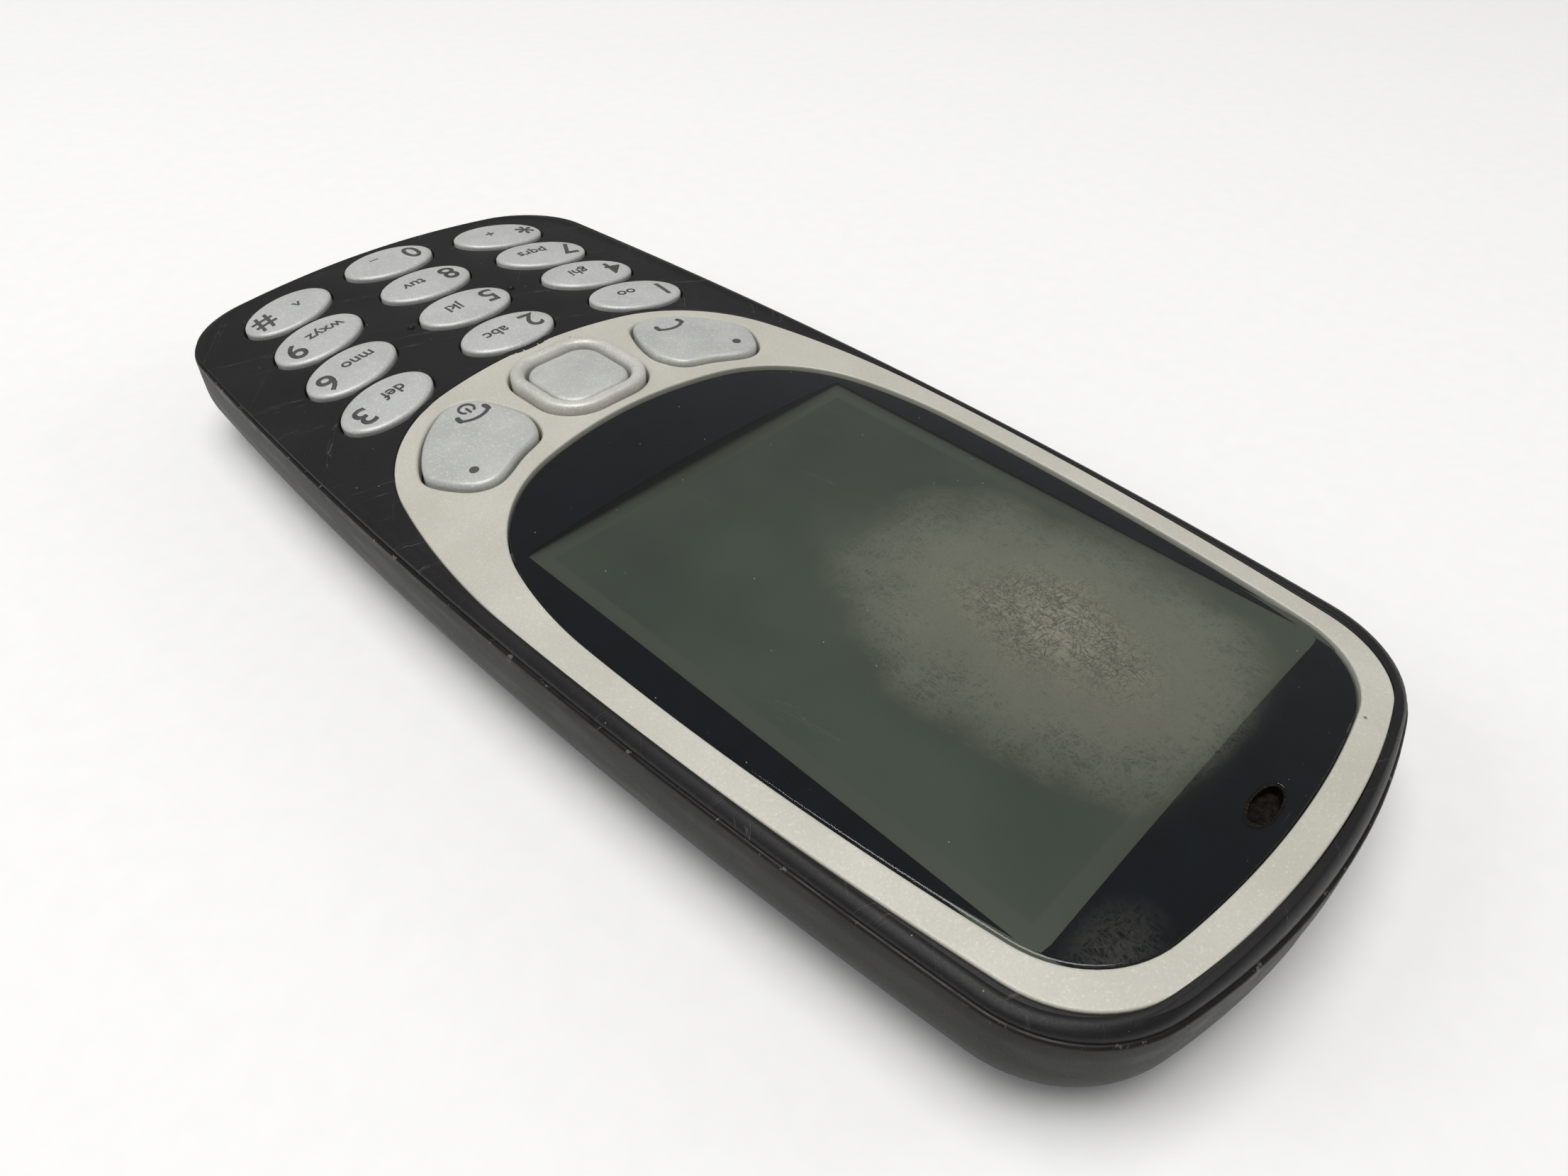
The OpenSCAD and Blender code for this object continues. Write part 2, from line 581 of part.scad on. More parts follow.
// Back shell
module back_cover() {
    color("#4a4743") difference() {
        tub(back_o, back_round, 0, seam_z);
        tub(grow(back_o, -back_wall), back_round - back_wall, back_wall, seam_z + 1);
        translate([0, cam_y, -1]) linear_extrude(4) round_rect(8.4, 8.4, 4.15);
        translate([flash_x + 2.4, cam_y, -1]) cylinder(r = 1.5, h = 4, $fn = 64);
        for (k = [0:3]) translate([speak_x - 4.5 + 3 * k, speak_y, -1]) linear_extrude(4) round_rect(1, 5, 0.49);
        translate([jack_x, -half_l - 1, jack_z]) rotate([-90, 0, 0]) cylinder(r = 2.9, h = 4, $fn = 64);
        cube_at([0, half_l - 1, board_z - 3.2], [8.6, 6, 3.7]);
        translate([0, -half_l - 0.6, seam_z]) rotate([-90, 0, 0]) cylinder(r = 5, h = 1.1, $fn = 64);
    }
}
module camera_window() {
    color("#0c0d10") translate([0, cam_y, 0.3]) cylinder(r = 4.1, h = 0.8, $fn = 96);
}
module flash_lens() {
    color("#f2eedd") translate([flash_x + 2.4, cam_y, 0.2]) cylinder(r = 1.42, h = 0.9, $fn = 64);
}

module key_1() key(0, -1);
module key_2() key(0, 0);
module key_3() key(0, 1);
module key_4() key(1, -1);
module key_5() key(1, 0);
module key_6() key(1, 1);
module key_7() key(2, -1);
module key_8() key(2, 0);
module key_9() key(2, 1);
module key_star() key(3, -1);
module key_0() key(3, 0);
module key_hash() key(3, 1);
module left_rocker() rocker(-1);
module right_rocker() rocker(1);

front_cover();
bezel_ring();
display_window();
earpiece_mesh();
key_1();
key_2();
key_3();
key_4();
key_5();
key_6();
key_7();
key_8();
key_9();
key_star();
key_0();
key_hash();
centre_key();
scroll_ring();
scroll_gimbal();
left_rocker();
right_rocker();
keypad_mat();
dome_sheet();
display_panel();
display_frame();
display_flex();
window_gasket();
earpiece_speaker();
microphone();
main_board();
shield_can_left();
shield_can_right();
sim_holder_one();
sim_holder_two();
memory_card_holder();
usb_socket();
headset_socket();
battery_contacts();
loudspeaker();
buzz_motor();
camera_module();
flash_lamp();
antenna();
chassis();
chassis_screws();
battery();
battery_label();
battery_terminals();
back_cover();
camera_window();
flash_lens();
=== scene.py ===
"""A keypad phone lying on its back: smooth outer pieces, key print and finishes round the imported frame.

Every size in the helpers is in millimetres; put() turns a finished mesh into metres.
"""

import json
import math

import bmesh
import bpy
import numpy as np
from mathutils import Matrix, Vector
from mathutils.geometry import delaunay_2d_cdt


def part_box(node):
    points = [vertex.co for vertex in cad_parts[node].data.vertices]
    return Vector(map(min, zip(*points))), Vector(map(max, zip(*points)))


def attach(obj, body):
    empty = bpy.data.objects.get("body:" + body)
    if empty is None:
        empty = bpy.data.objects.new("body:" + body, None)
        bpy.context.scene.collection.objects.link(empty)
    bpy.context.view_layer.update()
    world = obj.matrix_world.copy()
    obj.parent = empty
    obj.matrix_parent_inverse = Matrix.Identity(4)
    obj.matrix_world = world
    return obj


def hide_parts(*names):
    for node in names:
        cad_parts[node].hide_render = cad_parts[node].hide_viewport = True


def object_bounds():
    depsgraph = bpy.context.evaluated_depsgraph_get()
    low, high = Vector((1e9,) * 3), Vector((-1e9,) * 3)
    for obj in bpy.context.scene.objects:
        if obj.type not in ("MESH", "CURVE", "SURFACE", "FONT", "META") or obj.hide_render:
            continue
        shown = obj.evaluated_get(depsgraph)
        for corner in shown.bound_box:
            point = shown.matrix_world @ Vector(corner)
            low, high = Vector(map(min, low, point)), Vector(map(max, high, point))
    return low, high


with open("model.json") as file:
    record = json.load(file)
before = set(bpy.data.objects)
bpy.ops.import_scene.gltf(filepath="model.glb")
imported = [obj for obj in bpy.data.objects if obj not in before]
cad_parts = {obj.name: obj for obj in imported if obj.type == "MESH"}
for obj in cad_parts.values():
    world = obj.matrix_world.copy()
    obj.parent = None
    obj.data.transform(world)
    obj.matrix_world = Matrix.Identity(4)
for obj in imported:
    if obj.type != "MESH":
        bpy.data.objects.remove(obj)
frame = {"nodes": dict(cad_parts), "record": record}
cad_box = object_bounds()
MM = 0.001

# ---------------- sizes read from the frame
back_lo, back_hi = (np.array(c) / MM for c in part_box("back_cover"))
BODY_W = back_hi[0] - back_lo[0]
HALF_L = back_hi[1]
SEAM_Z = back_hi[2]
FACE_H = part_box("front_cover")[1].z / MM
RING_LO, RING_HI = (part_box("bezel_ring")[i].y / MM for i in (0, 1))
RING_W = 2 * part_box("bezel_ring")[1].x / MM
WIN_LO, WIN_HI = (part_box("display_window")[i].y / MM for i in (0, 1))
WIN_W = 2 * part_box("display_window")[1].x / MM
SCROLL_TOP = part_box("scroll_ring")[1].z / MM
NAV_Y = (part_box("scroll_ring")[0].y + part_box("scroll_ring")[1].y) / 2 / MM
LCD_LO, LCD_HI = (np.array(c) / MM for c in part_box("display_panel"))
EAR = [(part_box("earpiece_mesh")[0][i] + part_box("earpiece_mesh")[1][i]) / 2 / MM for i in (0, 1)]

# ---------------- sizes of the face
CROSS_R = 183.0
LONG_R = 2066.0
TOP_Y = 7.6
RIM_STEP = 0.3
BACK_WALL = 1.2
BACK_ROUND = 6.5
KEY_L, KEY_W, KEY_TURN = 10.2, 6.6, 17.0
KEY_HOLE = 0.2
# Opening of the printed mask, and the lit part of the display inside it
VIEW_W, VIEW_L = 36.7, 48.9
PIXELS_W, PIXELS_L = 33.6, 45.8
KEY_PITCH = 7.55
KEY_FIRST = 5.9
KEY_SMILE = 2.0
KEY_COLUMN_X, KEY_COLUMN_IN = 14.9, 1.9
NAV_GAP = 0.3


def face_z(x, y):
    """Height of the curved face."""
    return FACE_H - CROSS_R + np.sqrt(CROSS_R**2 - x**2) - LONG_R + np.sqrt(LONG_R**2 - (y - TOP_Y) ** 2)


def on_face(x, y):
    """The frame square on the face at a place."""
    a, b = math.asin((TOP_Y - y) / LONG_R), math.asin(x / CROSS_R)
    turn = Matrix.Rotation(b, 4, "Y") @ Matrix.Rotation(a, 4, "X")
    return Matrix.Translation((x, y, float(face_z(x, y)))) @ turn


# ---------------- outlines: points with outward normals
def unit(v):
    return v / np.linalg.norm(v)


def meet(c0, r0, c1, r1, side):
    """Where two circles meet, the upper point for side 1."""
    d = c1 - c0
    n = np.linalg.norm(d)
    a = (r0 * r0 - r1 * r1 + n * n) / (2 * n)
    h = math.sqrt(r0 * r0 - a * a)
    m, p = c0 + a * d / n, np.array([-d[1], d[0]]) / n
    q, s = m + h * p, m - h * p
    return q if side * q[1] > side * s[1] else s


def outline(width, low, high, widest, end_r, corner_r, up_r, down_r, low_corner_r, low_r, step=1.2):
    """A closed chain of ten tangent arcs, anticlockwise, from Y low to Y high and widest at Y widest.

    The radii run from the high end: the end arc, its corners, the sides above and below the widest
    place, the low corners and the low end arc.
    """
    w = width / 2
    ct, cb = np.array([0, high - end_r]), np.array([0, low + low_r])
    cs, cl = np.array([w - up_r, widest]), np.array([w - down_r, widest])
    c1 = meet(ct, end_r - corner_r, cs, up_r - corner_r, 1)
    c2 = meet(cb, low_r - low_corner_r, cl, down_r - low_corner_r, -1)
    p1, p2 = ct + unit(c1 - ct) * end_r, cs + unit(c1 - cs) * up_r
    p3 = np.array([w, widest])
    p4, p5 = cl + unit(c2 - cl) * down_r, cb + unit(c2 - cb) * low_r

    def flip(p):
        return np.array([-p[0], p[1]])

    right_side = [(c1, corner_r, p1, p2), (cs, up_r, p2, p3), (cl, down_r, p3, p4),
                  (c2, low_corner_r, p4, p5)]
    chain = [(ct, end_r, p1, flip(p1))]
    chain += [(flip(c), r, flip(a), flip(b)) for c, r, a, b in right_side]
    chain.append((cb, low_r, flip(p5), p5))
    chain += [(c, r, b, a) for c, r, a, b in reversed(right_side)]
    pts, nrm = [], []
    for c, r, a, b in chain:
        t0, t1 = (math.atan2(*(p - c)[::-1]) for p in (a, b))
        turn = (t1 - t0) % (2 * math.pi)
        n = max(3, math.ceil(turn * r / step), math.ceil(turn / 0.09))
        for i in range(n):
            t = t0 + turn * i / n
            nrm.append((math.cos(t), math.sin(t)))
            pts.append(c + r * np.array(nrm[-1]))
    return np.array(pts), np.array(nrm)


def oval(cx, cy, length, width, turn=0.0, n=72):
    t = np.arange(n) * 2 * math.pi / n
    a, b = length / 2, width / 2
    p = np.stack([a * np.cos(t), b * np.sin(t)], 1)
    m = np.stack([b * np.cos(t), a * np.sin(t)], 1)
    m /= np.linalg.norm(m, axis=1)[:, None]
    c, s = math.cos(math.radians(turn)), math.sin(math.radians(turn))
    rot = np.array([[c, s], [-s, c]])
    return p @ rot + [cx, cy], m @ rot


def round_rect(cx, cy, w, length, r, per_corner=10, per_side=6):
    pts, nrm = [], []
    corners = [(1, 1, 0), (-1, 1, 90), (-1, -1, 180), (1, -1, 270)]
    for i, (sx, sy, a0) in enumerate(corners):
        c = np.array([sx * (w / 2 - r), sy * (length / 2 - r)])
        for k in range(per_corner + 1):
            t = math.radians(a0 + 90 * k / per_corner)
            nrm.append((math.cos(t), math.sin(t)))
            pts.append(c + r * np.array(nrm[-1]))
        nx, ny, _ = corners[(i + 1) % 4]
        far = np.array([nx * (w / 2 - r), ny * (length / 2 - r)]) + r * np.array(nrm[-1])
        here = pts[-1]
        for k in range(1, per_side):
            nrm.append(nrm[-1])
            pts.append(here + (far - here) * k / per_side)
    return np.array(pts) + [cx, cy], np.array(nrm)


def smooth_loop(knots, per=7):
    """A closed curve through given points, anticlockwise."""
    k = np.array(knots, float)
    n = len(k)
    pts = []
    for i in range(n):
        p0, p1, p2, p3 = k[i - 1], k[i], k[(i + 1) % n], k[(i + 2) % n]
        for j in range(per):
            t = j / per
            pts.append(0.5 * (2 * p1 + (p2 - p0) * t + (2 * p0 - 5 * p1 + 4 * p2 - p3) * t * t
                              + (3 * p1 - p0 - 3 * p2 + p3) * t**3))
    pts = np.array(pts)
    tan = np.roll(pts, -1, 0) - np.roll(pts, 1, 0)
    tan /= np.linalg.norm(tan, axis=1)[:, None]
    return pts, np.stack([tan[:, 1], -tan[:, 0]], 1)


def inside(pts, loop):
    """Which points lie inside a closed loop."""
    x, y = pts[:, 0], pts[:, 1]
    a, b = loop, np.roll(loop, -1, 0)
    hit = np.zeros(len(pts), bool)
    for (x0, y0), (x1, y1) in zip(a, b):
        if y0 == y1:
            continue
        cross = ((y0 > y) != (y1 > y)) & (x < (x1 - x0) * (y - y0) / (y1 - y0) + x0)
        hit ^= cross
    return hit


# ---------------- meshes
def put(name, verts, faces, body, material, slot, replaces=(), sharp=40.0, matrix=None):
    """A finished piece: metres, smooth with sharp edges kept, riding on its body."""
    bm = bmesh.new()
    made = [bm.verts.new(tuple(v)) for v in verts]
    for f in faces:
        if len(set(f)) > 2:
            try:
                bm.faces.new([made[i] for i in f])
            except ValueError:
                pass
    bmesh.ops.remove_doubles(bm, verts=bm.verts, dist=1e-4)
    bmesh.ops.recalc_face_normals(bm, faces=bm.faces)
    if matrix is not None:
        bmesh.ops.transform(bm, matrix=matrix, verts=bm.verts)
    bmesh.ops.scale(bm, vec=(MM, MM, MM), verts=bm.verts)
    keep_sharp(bm, sharp)
    mesh = bpy.data.meshes.new(name)
    bm.to_mesh(mesh)
    bm.free()
    return settle(bpy.data.objects.new(name, mesh), body, material, replaces)


def keep_sharp(bm, angle):
    limit = math.radians(angle)
    for f in bm.faces:
        f.smooth = True
    for e in bm.edges:
        e.smooth = len(e.link_faces) != 2 or e.calc_face_angle(0) < limit


def settle(obj, body, material, replaces=()):
    bpy.context.scene.collection.objects.link(obj)
    obj.data.materials.clear()
    obj.data.materials.append(material)
    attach(obj, body)
    if replaces:
        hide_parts(*replaces)
    return obj


def loft(rings, closed=False, cap=True):
    """Quads between equal rings of 3D points, with a fan at each end unless the rings close."""
    n = len(rings[0])
    verts = [tuple(p) for r in rings for p in r]
    faces = []
    spans = range(len(rings) if closed else len(rings) - 1)
    for i in spans:
        a, b = i * n, (i + 1) % len(rings) * n
        faces += [(a + j, a + (j + 1) % n, b + (j + 1) % n, b + j) for j in range(n)]
    if cap and not closed:
        for base, ring in ((0, rings[0]), ((len(rings) - 1) * n, rings[-1])):
            verts.append(tuple(np.mean(np.array(ring), 0)))
            faces += [(base + j, base + (j + 1) % n, len(verts) - 1) for j in range(n)]
    return verts, faces


def at(p, z):
    z = np.broadcast_to(z, len(p))
    return np.column_stack([p, z])


def shell(outer, holes, top, bottom, step=0.9):
    """A closed plate between two height functions.

    outer and holes are (points, normals out of the material, profile). A profile is a list of
    (distance from the edge, height function), from the top surface's border to the bottom surface's.
    """
    loops = [outer] + holes
    borders = [p + n * prof[0][0] for p, n, prof in loops]
    lo, hi = borders[0].min(0), borders[0].max(0)
    xs, ys = np.arange(lo[0], hi[0], step), np.arange(lo[1], hi[1], step)
    gx, gy = np.meshgrid(xs, ys)
    gx = gx + (np.arange(len(ys)) % 2)[:, None] * step / 2
    grid = np.stack([gx.ravel(), gy.ravel()], 1)
    ok = inside(grid, borders[0])
    for b in borders[1:]:
        ok &= ~inside(grid, b)
    grid = grid[ok]
    for b in borders:
        gap = np.linalg.norm(np.roll(b, -1, 0) - b, axis=1).mean()
        near = min(0.6 * step, max(0.3, 0.7 * gap))
        dist = np.full(len(grid), 9e9)
        for k in range(0, len(b), 64):
            dist = np.minimum(dist, np.linalg.norm(grid[:, None] - b[None, k:k + 64], axis=2).min(1))
        grid = grid[dist > near]
    flat, edges = [], []
    for b in borders:
        base = len(flat)
        flat += [tuple(p) for p in b]
        edges += [(base + i, base + (i + 1) % len(b)) for i in range(len(b))]
    flat += [tuple(p) for p in grid]
    out = delaunay_2d_cdt([Vector(p) for p in flat], edges, [], 0, 1e-7)
    pts2, tris, origin = out[0], out[2], out[3]
    first = {}
    for new, olds in enumerate(origin):
        for old in olds:
            first[old] = new
    pts2 = np.array([(p.x, p.y) for p in pts2])
    mid = pts2[np.array([t[:3] for t in tris])].mean(1)
    ok = inside(mid, borders[0])
    for b in borders[1:]:
        ok &= ~inside(mid, b)
    tris = [t for t, k in zip(tris, ok) if k]
    verts = [(p[0], p[1], float(top(p[0], p[1]))) for p in pts2]
    under = len(verts)
    verts += [(p[0], p[1], float(bottom(p[0], p[1]))) for p in pts2]
    low = {i: i + under for i in range(under)}
    faces = [tuple(t) for t in tris]
    start = 0
    for p, n, prof in loops:
        count = len(p)
        ring = [first[start + i] for i in range(count)]
        for d, height in prof[1:]:
            q = p + n * d
            z = height(q[:, 0], q[:, 1])
            base = len(verts)
            verts += [tuple(v) for v in at(q, z)]
            new = [base + i for i in range(count)]
            faces += [(ring[i], ring[(i + 1) % count], new[(i + 1) % count], new[i]) for i in range(count)]
            ring = new
        for i in range(count):
            low[first[start + i]] = ring[i]
        start += count
    faces += [tuple(low[i] for i in reversed(t)) for t in tris]
    used = sorted({i for f in faces for i in f})
    index = {old: new for new, old in enumerate(used)}
    return [verts[i] for i in used], [tuple(index[i] for i in f) for f in faces]


def bevel(radius, top, floor, steps=4):
    """A hole's or plate's edge rounded by radius and carried straight down to the floor height."""
    prof = [(-radius - 0.4, top), (-radius - 0.07, top)]
    for k in range(steps + 1):
        a = math.pi / 2 * k / steps
        drop = radius * (1 - math.cos(a))
        prof.append((-radius * (1 - math.sin(a)), lambda x, y, drop=drop: top(x, y) - drop))
    prof.append((0.0, floor))
    return prof


def cut(obj, cutters):
    """Takes closed cutters out of a piece and throws them away."""
    for c in cutters:
        mod = obj.modifiers.new("cut", "BOOLEAN")
        mod.operation, mod.object, mod.solver = "DIFFERENCE", c, "EXACT"
    graph = bpy.context.evaluated_depsgraph_get()
    mesh = bpy.data.meshes.new_from_object(obj.evaluated_get(graph))
    obj.modifiers.clear()
    old, obj.data = obj.data, mesh
    bpy.data.meshes.remove(old)
    for c in cutters:
        bpy.data.objects.remove(c)
    bm = bmesh.new()
    bm.from_mesh(mesh)
    keep_sharp(bm, 40)
    bm.to_mesh(mesh)
    bm.free()


def cutter(verts, faces):
    mesh = bpy.data.meshes.new("cutter")
    bm = bmesh.new()
    made = [bm.verts.new(Vector(v) * MM) for v in verts]
    for f in faces:
        bm.faces.new([made[i] for i in f])
    bmesh.ops.recalc_face_normals(bm, faces=bm.faces)
    bm.to_mesh(mesh)
    bm.free()
    obj = bpy.data.objects.new("cutter", mesh)
    bpy.context.scene.collection.objects.link(obj)
    return obj


def upright(points, y0, y1):
    """Rings of an (x, z) section carried along Y."""
    return [[(x, y, z) for x, z in points] for y in (y0, y1)]


# ---------------- materials
class Nodes:
    """A small helper that chains shader nodes in object space, in millimetres."""

    def __init__(self, name):
        self.mat = bpy.data.materials.new(name)
        self.mat.use_nodes = True
        self.tree = self.mat.node_tree
        self.tree.nodes.clear()
        self.out = self.tree.nodes.new("ShaderNodeOutputMaterial")
        place = self.tree.nodes.new("ShaderNodeTexCoord")
        self.place = self.vector("MULTIPLY", place.outputs["Object"], (1 / MM,) * 3)

    def link(self, a, b):
        if hasattr(a, "links"):
            self.tree.links.new(a, b)
        else:
            b.default_value = a

    def vector(self, op, a, b):
        n = self.tree.nodes.new("ShaderNodeVectorMath")
        n.operation = op
        self.link(a, n.inputs[0])
        self.link(b, n.inputs[1])
        return n.outputs["Value" if op in ("LENGTH", "DISTANCE") else "Vector"]

    def math(self, op, a, b=0.0, clamp=False):
        n = self.tree.nodes.new("ShaderNodeMath")
        n.operation, n.use_clamp = op, clamp
        for socket, v in zip(n.inputs, (a, b)):
            self.link(v, socket)
        return n.outputs[0]

    def noise(self, scale, detail=4.0, rough=0.55, where=None):
        n = self.tree.nodes.new("ShaderNodeTexNoise")
        self.link(where if where is not None else self.place, n.inputs["Vector"])
        n.inputs["Scale"].default_value = scale
        n.inputs["Detail"].default_value = detail
        n.inputs["Roughness"].default_value = rough
        return n.outputs["Fac"]

    def cells(self, scale, out="Distance"):
        n = self.tree.nodes.new("ShaderNodeTexVoronoi")
        self.link(self.place, n.inputs["Vector"])
        n.inputs["Scale"].default_value = scale
        return n.outputs[out]

    def range(self, value, low, high, a=0.0, b=1.0):
        n = self.tree.nodes.new("ShaderNodeMapRange")
        self.link(value, n.inputs["Value"])
        for k, v in zip(("From Min", "From Max", "To Min", "To Max"), (low, high, a, b)):
            n.inputs[k].default_value = v
        return n.outputs["Result"]

    def mix(self, fac, a, b):
        n = self.tree.nodes.new("ShaderNodeMix")
        n.data_type = "RGBA"
        self.link(fac, n.inputs["Factor"])
        for v, k in ((a, "A"), (b, "B")):
            socket = [s for s in n.inputs if s.name == k and s.type == "RGBA"][0]
            self.link(v if hasattr(v, "links") else (*v[:3], 1.0), socket)
        return [s for s in n.outputs if s.type == "RGBA"][0]

    def axis(self, i):
        n = self.tree.nodes.new("ShaderNodeSeparateXYZ")
        self.link(self.place, n.inputs[0])
        return n.outputs[i]

    def bump(self, height, strength, distance):
        n = self.tree.nodes.new("ShaderNodeBump")
        n.inputs["Strength"].default_value = strength
        n.inputs["Distance"].default_value = distance * MM
        self.link(height, n.inputs["Height"])
        return n.outputs[0]

    def principled(self, **sockets):
        n = self.tree.nodes.new("ShaderNodeBsdfPrincipled")
        names = {"color": "Base Color", "rough": "Roughness", "metal": "Metallic", "normal": "Normal",
                 "coat": "Coat Weight", "coat_rough": "Coat Roughness", "spec": "Specular IOR Level"}
        for k, v in sockets.items():
            socket = n.inputs[names[k]]
            if k == "color" and not hasattr(v, "links"):
                v = (*v[:3], 1.0)
            self.link(v, socket)
        return n.outputs[0]

    def done(self, shader):
        self.tree.links.new(shader, self.out.inputs["Surface"])
        return self.mat


def hair_lines(n, angle, across, along, thin, keep):
    """A mask of fine straight scratches at one angle: thin bands of noise stretched along the scratch.

    across and along are the noise's scales, thin is a band's width and keep is the level that gates it.
    """
    turn = n.tree.nodes.new("ShaderNodeVectorRotate")
    turn.rotation_type = "Z_AXIS"
    n.link(n.place, turn.inputs["Vector"])
    turn.inputs["Angle"].default_value = math.radians(angle)
    stretched = n.vector("MULTIPLY", turn.outputs[0], (along, across, 0.0))
    bent = n.vector("ADD", stretched, (angle * 7.3, angle * 3.1, 0.0))
    value = n.noise(1.0, 2.0, 0.5, bent)
    band = n.math("ABSOLUTE", n.math("SUBTRACT", value, 0.5))
    line = n.range(band, 0.0, thin, 1.0, 0.0)
    gate = n.range(n.noise(0.35, 2.0, 0.5, bent), keep, keep + 0.06)
    return n.math("MULTIPLY", line, gate)


def plastic(name, color, rough=0.5, grain=9.0, depth=0.02, mottled=0.12, dust=0.25, coat=0.0):
    """Moulded plastic: a fine grain, slow changes of tone and gloss, and a little dust."""
    n = Nodes(name)
    slow = n.noise(0.12, 3.0)
    fine = n.noise(grain, 3.0, 0.6)
    lighter = tuple(min(1.0, c * (1 + mottled) + 0.004) for c in color)
    darker = tuple(c * (1 - mottled) for c in color)
    tone = n.mix(n.range(slow, 0.35, 0.65), darker, lighter)
    speck = n.range(n.cells(1.1), 0.045, 0.03)
    tone = n.mix(n.math("MULTIPLY", speck, dust), tone, (0.62, 0.6, 0.56))
    gloss = n.range(n.math("ADD", n.math("MULTIPLY", slow, 0.6), n.math("MULTIPLY", fine, 0.4)), 0.3, 0.7,
                    rough - 0.07, rough + 0.08)
    return n.done(n.principled(color=tone, rough=gloss, coat=coat, coat_rough=0.25,
                               normal=n.bump(fine, 0.35, depth)))


def metal(name, color, rough=0.35, brushed=(0.4, 9.0, 0.4)):
    n = Nodes(name)
    streak = n.noise(2.0, 4.0, 0.6, n.vector("MULTIPLY", n.place, brushed))
    tone = n.mix(n.range(n.noise(0.3), 0.3, 0.7), tuple(c * 0.85 for c in color), color)
    gloss = n.range(streak, 0.3, 0.7, rough - 0.1, rough + 0.12)
    return n.done(n.principled(color=tone, metal=1.0, rough=gloss, normal=n.bump(streak, 0.2, 0.01)))


def front_plastic():
    """Charcoal satin plastic with a fine mineral grain, scuffs and dust."""
    n = Nodes("front_plastic")
    fine = n.noise(7.0, 4.0, 0.65)
    grit = n.cells(5.5)
    slow = n.noise(0.09, 3.0)
    tone = n.mix(n.range(slow, 0.35, 0.65), (0.0115, 0.0108, 0.0113), (0.0165, 0.0155, 0.016))
    tone = n.mix(n.range(fine, 0.58, 0.75, 0.0, 0.5), tone, (0.042, 0.039, 0.04))
    scuff = hair_lines(n, 24, 2.6, 0.11, 0.012, 0.6)
    scuff = n.math("MAXIMUM", scuff, hair_lines(n, -51, 2.2, 0.13, 0.012, 0.62))
    tone = n.mix(n.math("MULTIPLY", scuff, 0.25), tone, (0.3, 0.28, 0.27))
    speck = n.range(n.cells(0.7), 0.04, 0.028)
    tone = n.mix(n.math("MULTIPLY", speck, 0.5), tone, (0.5, 0.46, 0.4))
    gloss = n.range(fine, 0.3, 0.7, 0.36, 0.52)
    height = n.math("ADD", fine, n.math("MULTIPLY", grit, 0.5))
    return n.done(n.principled(color=tone, rough=gloss, spec=0.24, normal=n.bump(height, 0.4, 0.02)))


def back_plastic():
    """Warm dark eggshell plastic whose rim is rubbed glossy, with chips along the edge and the corners."""
    n = Nodes("back_plastic")
    fine = n.noise(8.5, 4.0, 0.6)
    slow = n.noise(0.11, 3.0)
    high = n.axis(2)
    tone = n.mix(n.range(slow, 0.35, 0.65), (0.0105, 0.0095, 0.0094), (0.0155, 0.014, 0.0138))
    rub = n.math("MULTIPLY", n.range(high, SEAM_Z - 1.0, SEAM_Z - 0.1), n.range(n.noise(0.5), 0.35, 0.6))
    near_seam = n.range(high, SEAM_Z - 1.3, SEAM_Z)
    chip_at = n.math("ADD", n.noise(0.9, 5.0, 0.65), n.math("MULTIPLY", near_seam, 0.16))
    chip = n.range(chip_at, 0.775, 0.8)
    tone = n.mix(n.math("MULTIPLY", chip, 0.65), tone, (0.16, 0.145, 0.13))
    smear = n.range(n.noise(0.35, 2.0, 0.5, n.vector("MULTIPLY", n.place, (1, 0.35, 1.8))), 0.5, 0.7)
    gloss = n.math("SUBTRACT", n.range(fine, 0.3, 0.7, 0.42, 0.55), n.math("MULTIPLY", rub, 0.22))
    gloss = n.math("SUBTRACT", gloss, n.math("MULTIPLY", smear, 0.07))
    smoother = n.math("SUBTRACT", 1.0, n.math("MULTIPLY", rub, 0.8))
    height = n.math("SUBTRACT", n.math("MULTIPLY", fine, smoother), n.math("MULTIPLY", chip, 2.0))
    return n.done(n.principled(color=tone, rough=gloss, spec=0.22, normal=n.bump(height, 0.35, 0.025)))


def bezel_paint():
    """Warm light grey paint with a fine metallic sparkle, faint scuffs, and grime and chips at its edges."""
    n = Nodes("bezel_paint")
    slow = n.noise(0.1, 3.0)
    flake = n.cells(8.0, out="Color")
    fine = n.noise(5.0, 4.0, 0.6)
    tone = n.mix(n.range(slow, 0.3, 0.7), (0.50, 0.485, 0.42), (0.60, 0.585, 0.52))
    tone = n.mix(n.range(fine, 0.3, 0.75, 0.0, 0.5), tone, (0.44, 0.43, 0.375))
    spark = n.tree.nodes.new("ShaderNodeSeparateColor")
    n.link(flake, spark.inputs[0])
    tone = n.mix(n.range(spark.outputs[0], 0.85, 1.0, 0.0, 0.22), tone, (0.86, 0.85, 0.8))
    dent = n.range(n.cells(0.23), 0.045, 0.02)
    tone = n.mix(n.math("MULTIPLY", dent, 0.85), tone, (0.12, 0.09, 0.06))
    scuff = hair_lines(n, 63, 2.4, 0.12, 0.012, 0.6)
    tone = n.mix(n.math("MULTIPLY", scuff, 0.25), tone, (0.75, 0.74, 0.7))
    height = n.math("SUBTRACT", fine, n.math("MULTIPLY", dent, 2.5))
    gloss = n.range(fine, 0.3, 0.7, 0.34, 0.46)
    return n.done(n.principled(color=tone, rough=gloss, coat=0.25, coat_rough=0.3,
                               normal=n.bump(height, 0.3, 0.02)))


